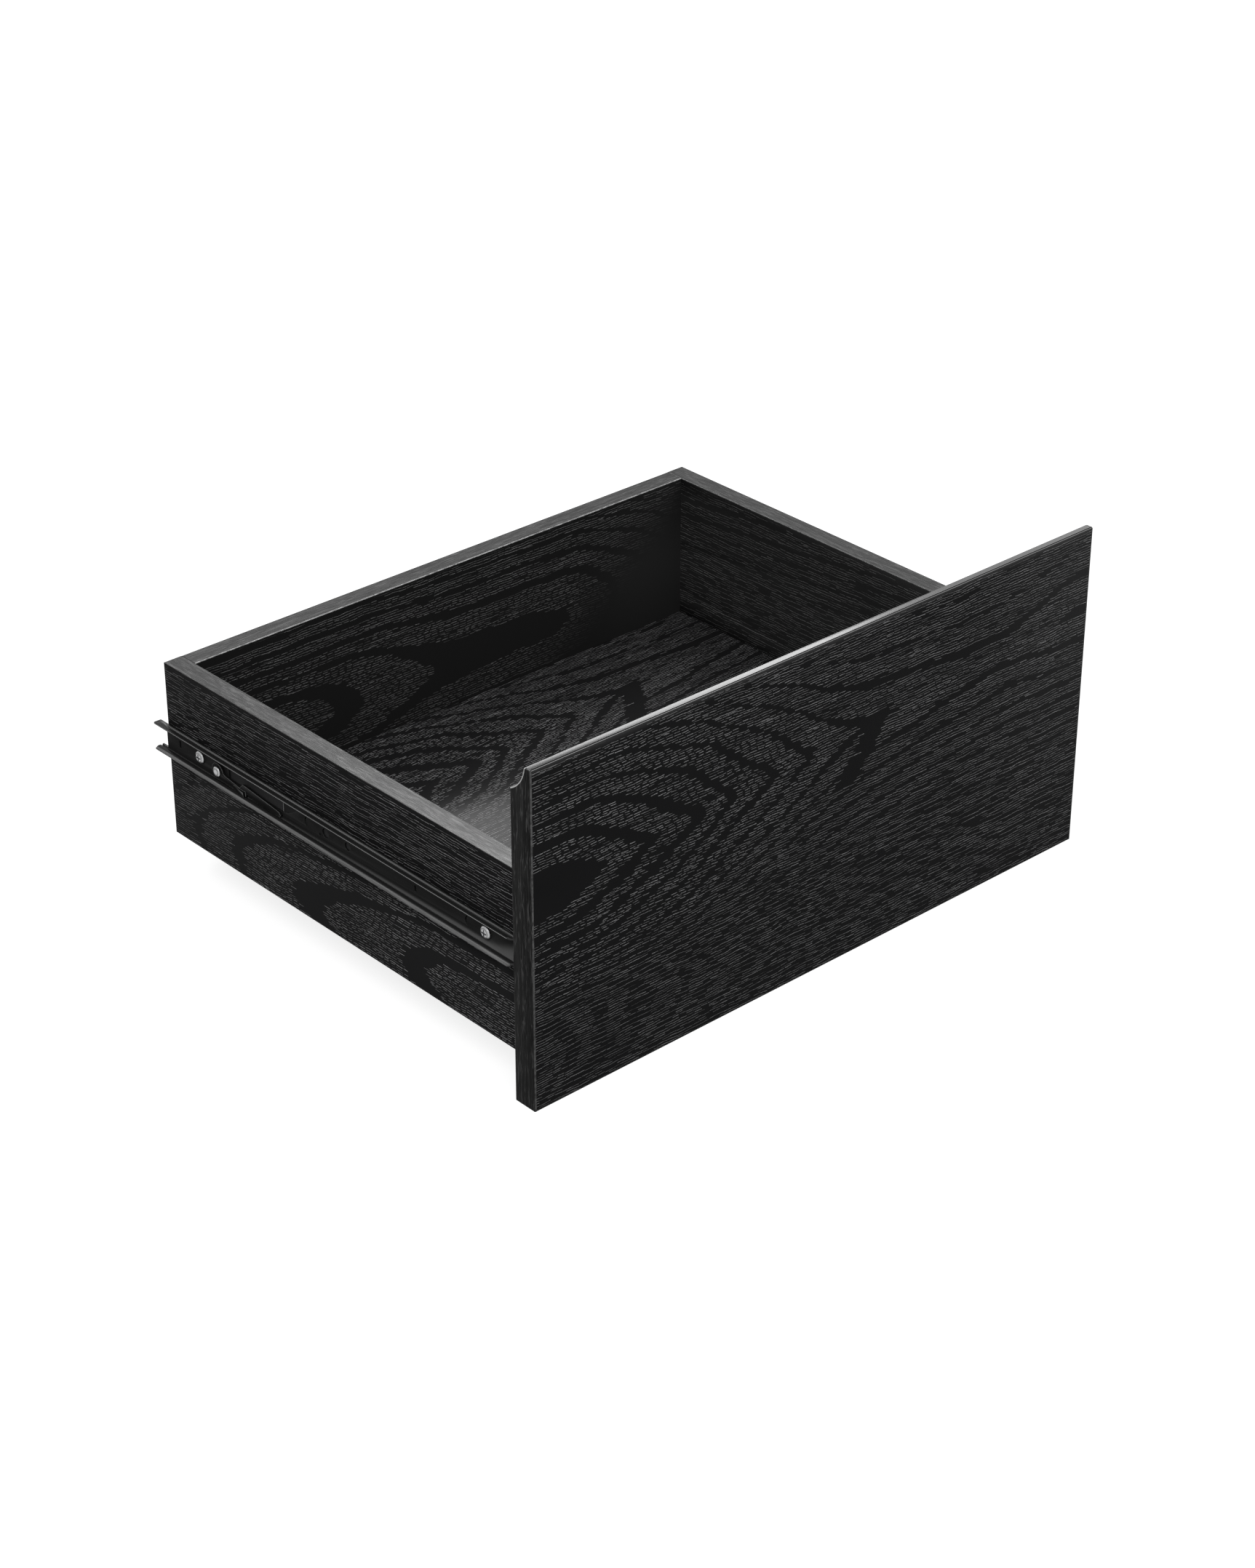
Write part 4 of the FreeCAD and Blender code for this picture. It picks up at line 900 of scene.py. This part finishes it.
FRONT_SHAPE = {"slope": 0.063, "seed": 1.0, "bar": (237.0, 0.75, 8.0, -30.0, 4.0)}
FRONT_FIGURE = Figure("front_figure", ("X", 1), ("Z", 1), (-200.0, 122.0), FRONT_PHASES, upper_ring=0.68,
                      **FRONT_SHAPE)
FLOOR_FIGURE = Figure("floor_figure", ("X", 1), ("Y", 1), (-146.5, 74.75), FRONT_PHASES, **FRONT_SHAPE)
SIDE_FIGURE = Figure("side_figure", ("Y", 1), ("Z", 1), (154.75, 33.5), SIDE_PHASES, arch=(0.0, 0.00128),
                     seed=3.0, upper_share=1.0, flank=(-0.3, 0.072, 0.0), core=-1.0, fade=(4.0, 6.0),
                     far=(0.75, 1.0), crowding=(70.0, 0.04), run_in=2.5, ring_widths=(0.145, 0.09))
BACK_FIGURE = Figure("back_figure", ("X", 1), ("Z", 1), (-179.5, 65.5), BACK_PHASES, arch=(0.0, 0.00125),
                     seed=4.0, upper_share=0.9, flank=(-1.1, 0.115, 0.0), core=-1.0, fade=(4.0, 7.0),
                     far=(0.8, 1.0), crowding=(70.0, 0.0), ring_widths=(0.155, 0.12))
RIGHT_FIGURE = Figure("right_figure", ("Y", -1), ("Z", 1), (-154.75, 150.0), STRAIGHT_PHASES, slope=0.06,
                      seed=5.0, fade=(0.0, 0.5), far=(0.35, 0.9), waver=2.4)

# The box's boards have no strokes in their top 1.4 mm, under the bands
BOARD_CLEAR = BOX_TOP - 1.4

SIDE_LINES = [("X", sign * SIDE_OUTER, 0.35) for sign in (-1, 1)]
# Painted highlights along the side bands' inner arrises
SIDE_ARRIS_HIGHLIGHTS = [("X", sign * SIDE_INNER, 0.3, 0.07) for sign in (-1, 1)]
BACK_LINES = [("Y", BACK_HIGH.y, 0.3), ("X", -SIDE_INNER, 0.3), ("X", SIDE_INNER, 0.3)]
SCREW_HEADS = [(axis_y, SLIDE_AXIS, 0.0, 2.2, 2.75, 0.35)
               for axis_y in (SCREW_LOW.y + SCREW_HEAD_RADIUS, SCREW_HIGH.y - SCREW_HEAD_RADIUS)]
RIVET_HEADS = [((RIVET_LOW.y + RIVET_HIGH.y) / 2, SLIDE_AXIS, PIVOT_DROP, 1.5, 2.2, 0.3)]

END_BAND = edging("front_end_edging", "Z", arris_highlights=[("Y", FRONT_LOW.y, 0.3, 0.075)], pull=True)
EDGING_UPRIGHT = edging("edging_upright", "Z")
EDGING_DEEP = edging("edging_deep", "Y", lines=SIDE_LINES, arris_highlights=SIDE_ARRIS_HIGHLIGHTS)
EDGING_WIDE = edging("edging_wide", "X", lines=BACK_LINES, arris_highlights=[("Y", BACK_LOW.y, 0.3, 0.30)])
STEEL = coated_steel("black_slide_steel")
PLASTIC = moulded_plastic("lever_plastic")
CAM_ZINC = bright_zinc("cam_zinc", tone=0.56, dull=0.12)

MATERIALS = {
    "drawer_front": front_laminate(),
    "front_end_band_left": END_BAND, "front_end_band_right": END_BAND,
    "front_bottom_band": EDGING_WIDE, "back_top_band": EDGING_WIDE,
    "side_left": laminate("left_side_laminate", SIDE_FIGURE, far_face=("X", -SIDE_MIDDLE, 47.0, -22.0),
                          clear_above=BOARD_CLEAR, slide_side=True, inside_tones=LEFT_INSIDE_SHADING),
    "side_right": laminate("right_side_laminate", RIGHT_FIGURE, far_face=("X", SIDE_MIDDLE, 73.0, -40.0),
                           clear_above=BOARD_CLEAR, slide_side=True, inside_tones=RIGHT_INSIDE_SHADING),
    "side_rear_band_left": EDGING_UPRIGHT, "side_rear_band_right": EDGING_UPRIGHT,
    "side_top_band_left": EDGING_DEEP, "side_top_band_right": EDGING_DEEP,
    "back_board": laminate("back_laminate", BACK_FIGURE, far_face=("Y", BACK_MIDDLE, 80.0, -25.0),
                           clear_above=BOARD_CLEAR, inside_tones=BACK_INSIDE_SHADING, fading=True),
    "bottom_panel": laminate("floor_laminate", FLOOR_FIGURE, gloss=0.22),
    "slide_member_left": STEEL, "slide_member_right": STEEL,
    "release_lever_left": PLASTIC, "release_lever_right": PLASTIC,
    "slide_screws": bright_zinc("screw_zinc", tone=0.44, dull=0.06, heads=SCREW_HEADS),
    "lever_rivets": bright_zinc("rivet_zinc", tone=0.44, dull=0.06, heads=RIVET_HEADS),
    "cam_bolts": CAM_ZINC, "cam_locks": CAM_ZINC,
    "wooden_dowels": bare_beech("dowel_beech"),
}


# Pieces

NODE_BODY = {}
for body_name, members in frame["record"]["behaviour"]["bodies"].items():
    for member in members:
        NODE_BODY[member] = body_name

# Points closer than this are merged, faces that turn less than the first angle are joined, and edges that
# turn more than the second are eased
MERGE_MM = 0.002
FLAT_DEGREES = 0.6
SHARP_DEGREES = 35.0


def new_object(name, data):
    """A mesh, light or camera placed in the scene."""
    made = bpy.data.objects.new(name, data)
    bpy.context.scene.collection.objects.link(made)
    return made


def mesh_of(work, name):
    """The mesh of a finished bmesh."""
    mesh = bpy.data.meshes.new(name)
    work.to_mesh(mesh)
    work.free()
    return mesh


def eased(node, width):
    """The node's own shape with its sharp edges eased, so that they catch the light."""
    work = bmesh.new()
    work.from_mesh(frame["nodes"][node].data)
    bmesh.ops.remove_doubles(work, verts=work.verts, dist=MERGE_MM * MM)
    flat = math.radians(FLAT_DEGREES)
    bmesh.ops.dissolve_limit(work, angle_limit=flat, verts=work.verts, edges=work.edges)
    mesh = mesh_of(work, f"{node}_eased")
    mesh.shade_smooth()
    mesh.materials.clear()
    mesh.materials.append(MATERIALS[node])
    piece = new_object(f"{node}_eased", mesh)
    bevel = piece.modifiers.new("eased_edges", "BEVEL")
    bevel.width = width * MM
    bevel.segments = 2
    bevel.limit_method = "ANGLE"
    bevel.angle_limit = math.radians(SHARP_DEGREES)
    bevel.harden_normals = True
    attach(piece, NODE_BODY[node])
    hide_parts(node)


# How wide each node's edges are eased, in mm. The nodes that aren't here are shown as they are.
EASED = {
    "drawer_front": 0.35, "front_end_band_left": 0.25, "front_end_band_right": 0.25, "front_bottom_band": 0.2,
    "side_left": 0.15, "side_right": 0.15, "back_board": 0.15, "bottom_panel": 0.15,
    "slide_member_left": 0.22, "slide_member_right": 0.22, "slide_screws": 0.12, "lever_rivets": 0.15,
    "release_lever_left": 0.22, "release_lever_right": 0.22, "cam_locks": 0.25, "cam_bolts": 0.1,
}
for node_name, size in EASED.items():
    eased(node_name, size)
for node_name, holder in frame["nodes"].items():
    if node_name not in EASED:
        holder.data.materials.clear()
        holder.data.materials.append(MATERIALS[node_name])


# Floor, light and camera

FLOOR_REACH = 8.0
FLOOR_DIFFUSE = 0.25
FLOOR_GLOW = 0.80
FLOOR_GLOW_FAR = 0.95
FLOOR_GLOW_RISE = (0.9, 2.0)
AMBIENT = 0.55

# Azimuth and elevation in degrees, distance, width and height in metres, and power in watts
SOFTBOXES = {
    "key_softbox": (-55, 48, 2.2, 1.6, 1.6, 40),
    "front_softbox": (15, 35, 2.4, 1.6, 1.2, 18),
    "rear_softbox": (138, 44, 2.2, 1.6, 0.84, 32),
}


def shown(tree):
    """1 for rays from the camera, from gloss and through glass, 0 for the light that falls on the object."""
    path = tree.nodes.new("ShaderNodeLightPath").outputs
    seen = calc(tree, "MAXIMUM", path["Is Camera Ray"], path["Is Transmission Ray"])
    return calc(tree, "MAXIMUM", seen, path["Is Glossy Ray"])


def make_floor():
    """A white floor that takes only a faint shadow. Its glow rises with distance."""
    work = bmesh.new()
    bmesh.ops.create_grid(work, x_segments=1, y_segments=1, size=FLOOR_REACH)
    floor = new_object("studio_floor", mesh_of(work, "studio_floor"))
    material = bpy.data.materials.new("studio_floor")
    tree = empty_tree(material)
    away = length_of(tree, tree.nodes.new("ShaderNodeTexCoord").outputs["Object"])
    strength = ranged(tree, away, *FLOOR_GLOW_RISE, FLOOR_GLOW, FLOOR_GLOW_FAR)
    glow = put(tree, "ShaderNodeEmission", {"Strength": times(tree, shown(tree), strength)})
    cloth = put(tree, "ShaderNodeBsdfDiffuse", {"Color": grey(FLOOR_DIFFUSE)})
    total = put(tree, "ShaderNodeAddShader", {0: glow.outputs[0], 1: cloth.outputs[0]})
    put(tree, "ShaderNodeOutputMaterial", {"Surface": total.outputs[0]})
    floor.data.materials.append(material)


def make_world():
    """White where it is seen, and dimmer as light on the object."""
    world = bpy.data.worlds.new("studio")
    bpy.context.scene.world = world
    tree = empty_tree(world)
    strength = calc(tree, "MAXIMUM", shown(tree), AMBIENT)
    sky = put(tree, "ShaderNodeBackground", {"Color": grey(1.0), "Strength": strength})
    put(tree, "ShaderNodeOutputWorld", {"Surface": sky.outputs[0]})


def direction(azimuth, elevation):
    """The way from the drawer towards a place: azimuth 0 is in front of it, 90 to its right."""
    turn = math.radians(azimuth)
    lift = math.radians(elevation)
    return Vector((math.sin(turn) * math.cos(lift), -math.cos(turn) * math.cos(lift), math.sin(lift)))


def make_softbox(name, azimuth, elevation, distance, width, height, power):
    light = bpy.data.lights.new(name, "AREA")
    light.shape = "RECTANGLE"
    light.size = width
    light.size_y = height
    light.energy = power
    lamp = new_object(name, light)
    way = direction(azimuth, elevation)
    lamp.location = CAMERA_TARGET + way * distance
    lamp.rotation_euler = way.to_track_quat("Z", "Y").to_euler()
    lamp.visible_camera = False


def make_camera():
    camera = bpy.data.cameras.new("photo_camera")
    camera.sensor_fit = "AUTO"
    camera.sensor_width = SENSOR_WIDTH
    camera.lens = FOCAL_PIXELS / max(PHOTO_WIDTH, PHOTO_HEIGHT) * SENSOR_WIDTH
    holder = new_object("photo_camera", camera)
    back = direction(CAMERA_AZIMUTH, CAMERA_ELEVATION)
    right = (-back).cross(Vector((0, 0, 1))).normalized()
    up = right.cross(-back)
    roll = math.radians(CAMERA_ROLL)
    rolled_right = right * math.cos(roll) + up * math.sin(roll)
    rolled_up = up * math.cos(roll) - right * math.sin(roll)
    turn = Matrix((rolled_right, rolled_up, back)).transposed()
    place = CAMERA_TARGET + back * CAMERA_DISTANCE + rolled_right * CAMERA_RIGHT + rolled_up * CAMERA_UP
    holder.matrix_world = Matrix.Translation(place) @ turn.to_4x4()
    bpy.context.scene.camera = holder


make_floor()
make_world()
for softbox_name, softbox in SOFTBOXES.items():
    make_softbox(softbox_name, *softbox)
make_camera()
bpy.context.scene.view_settings.view_transform = "Standard"
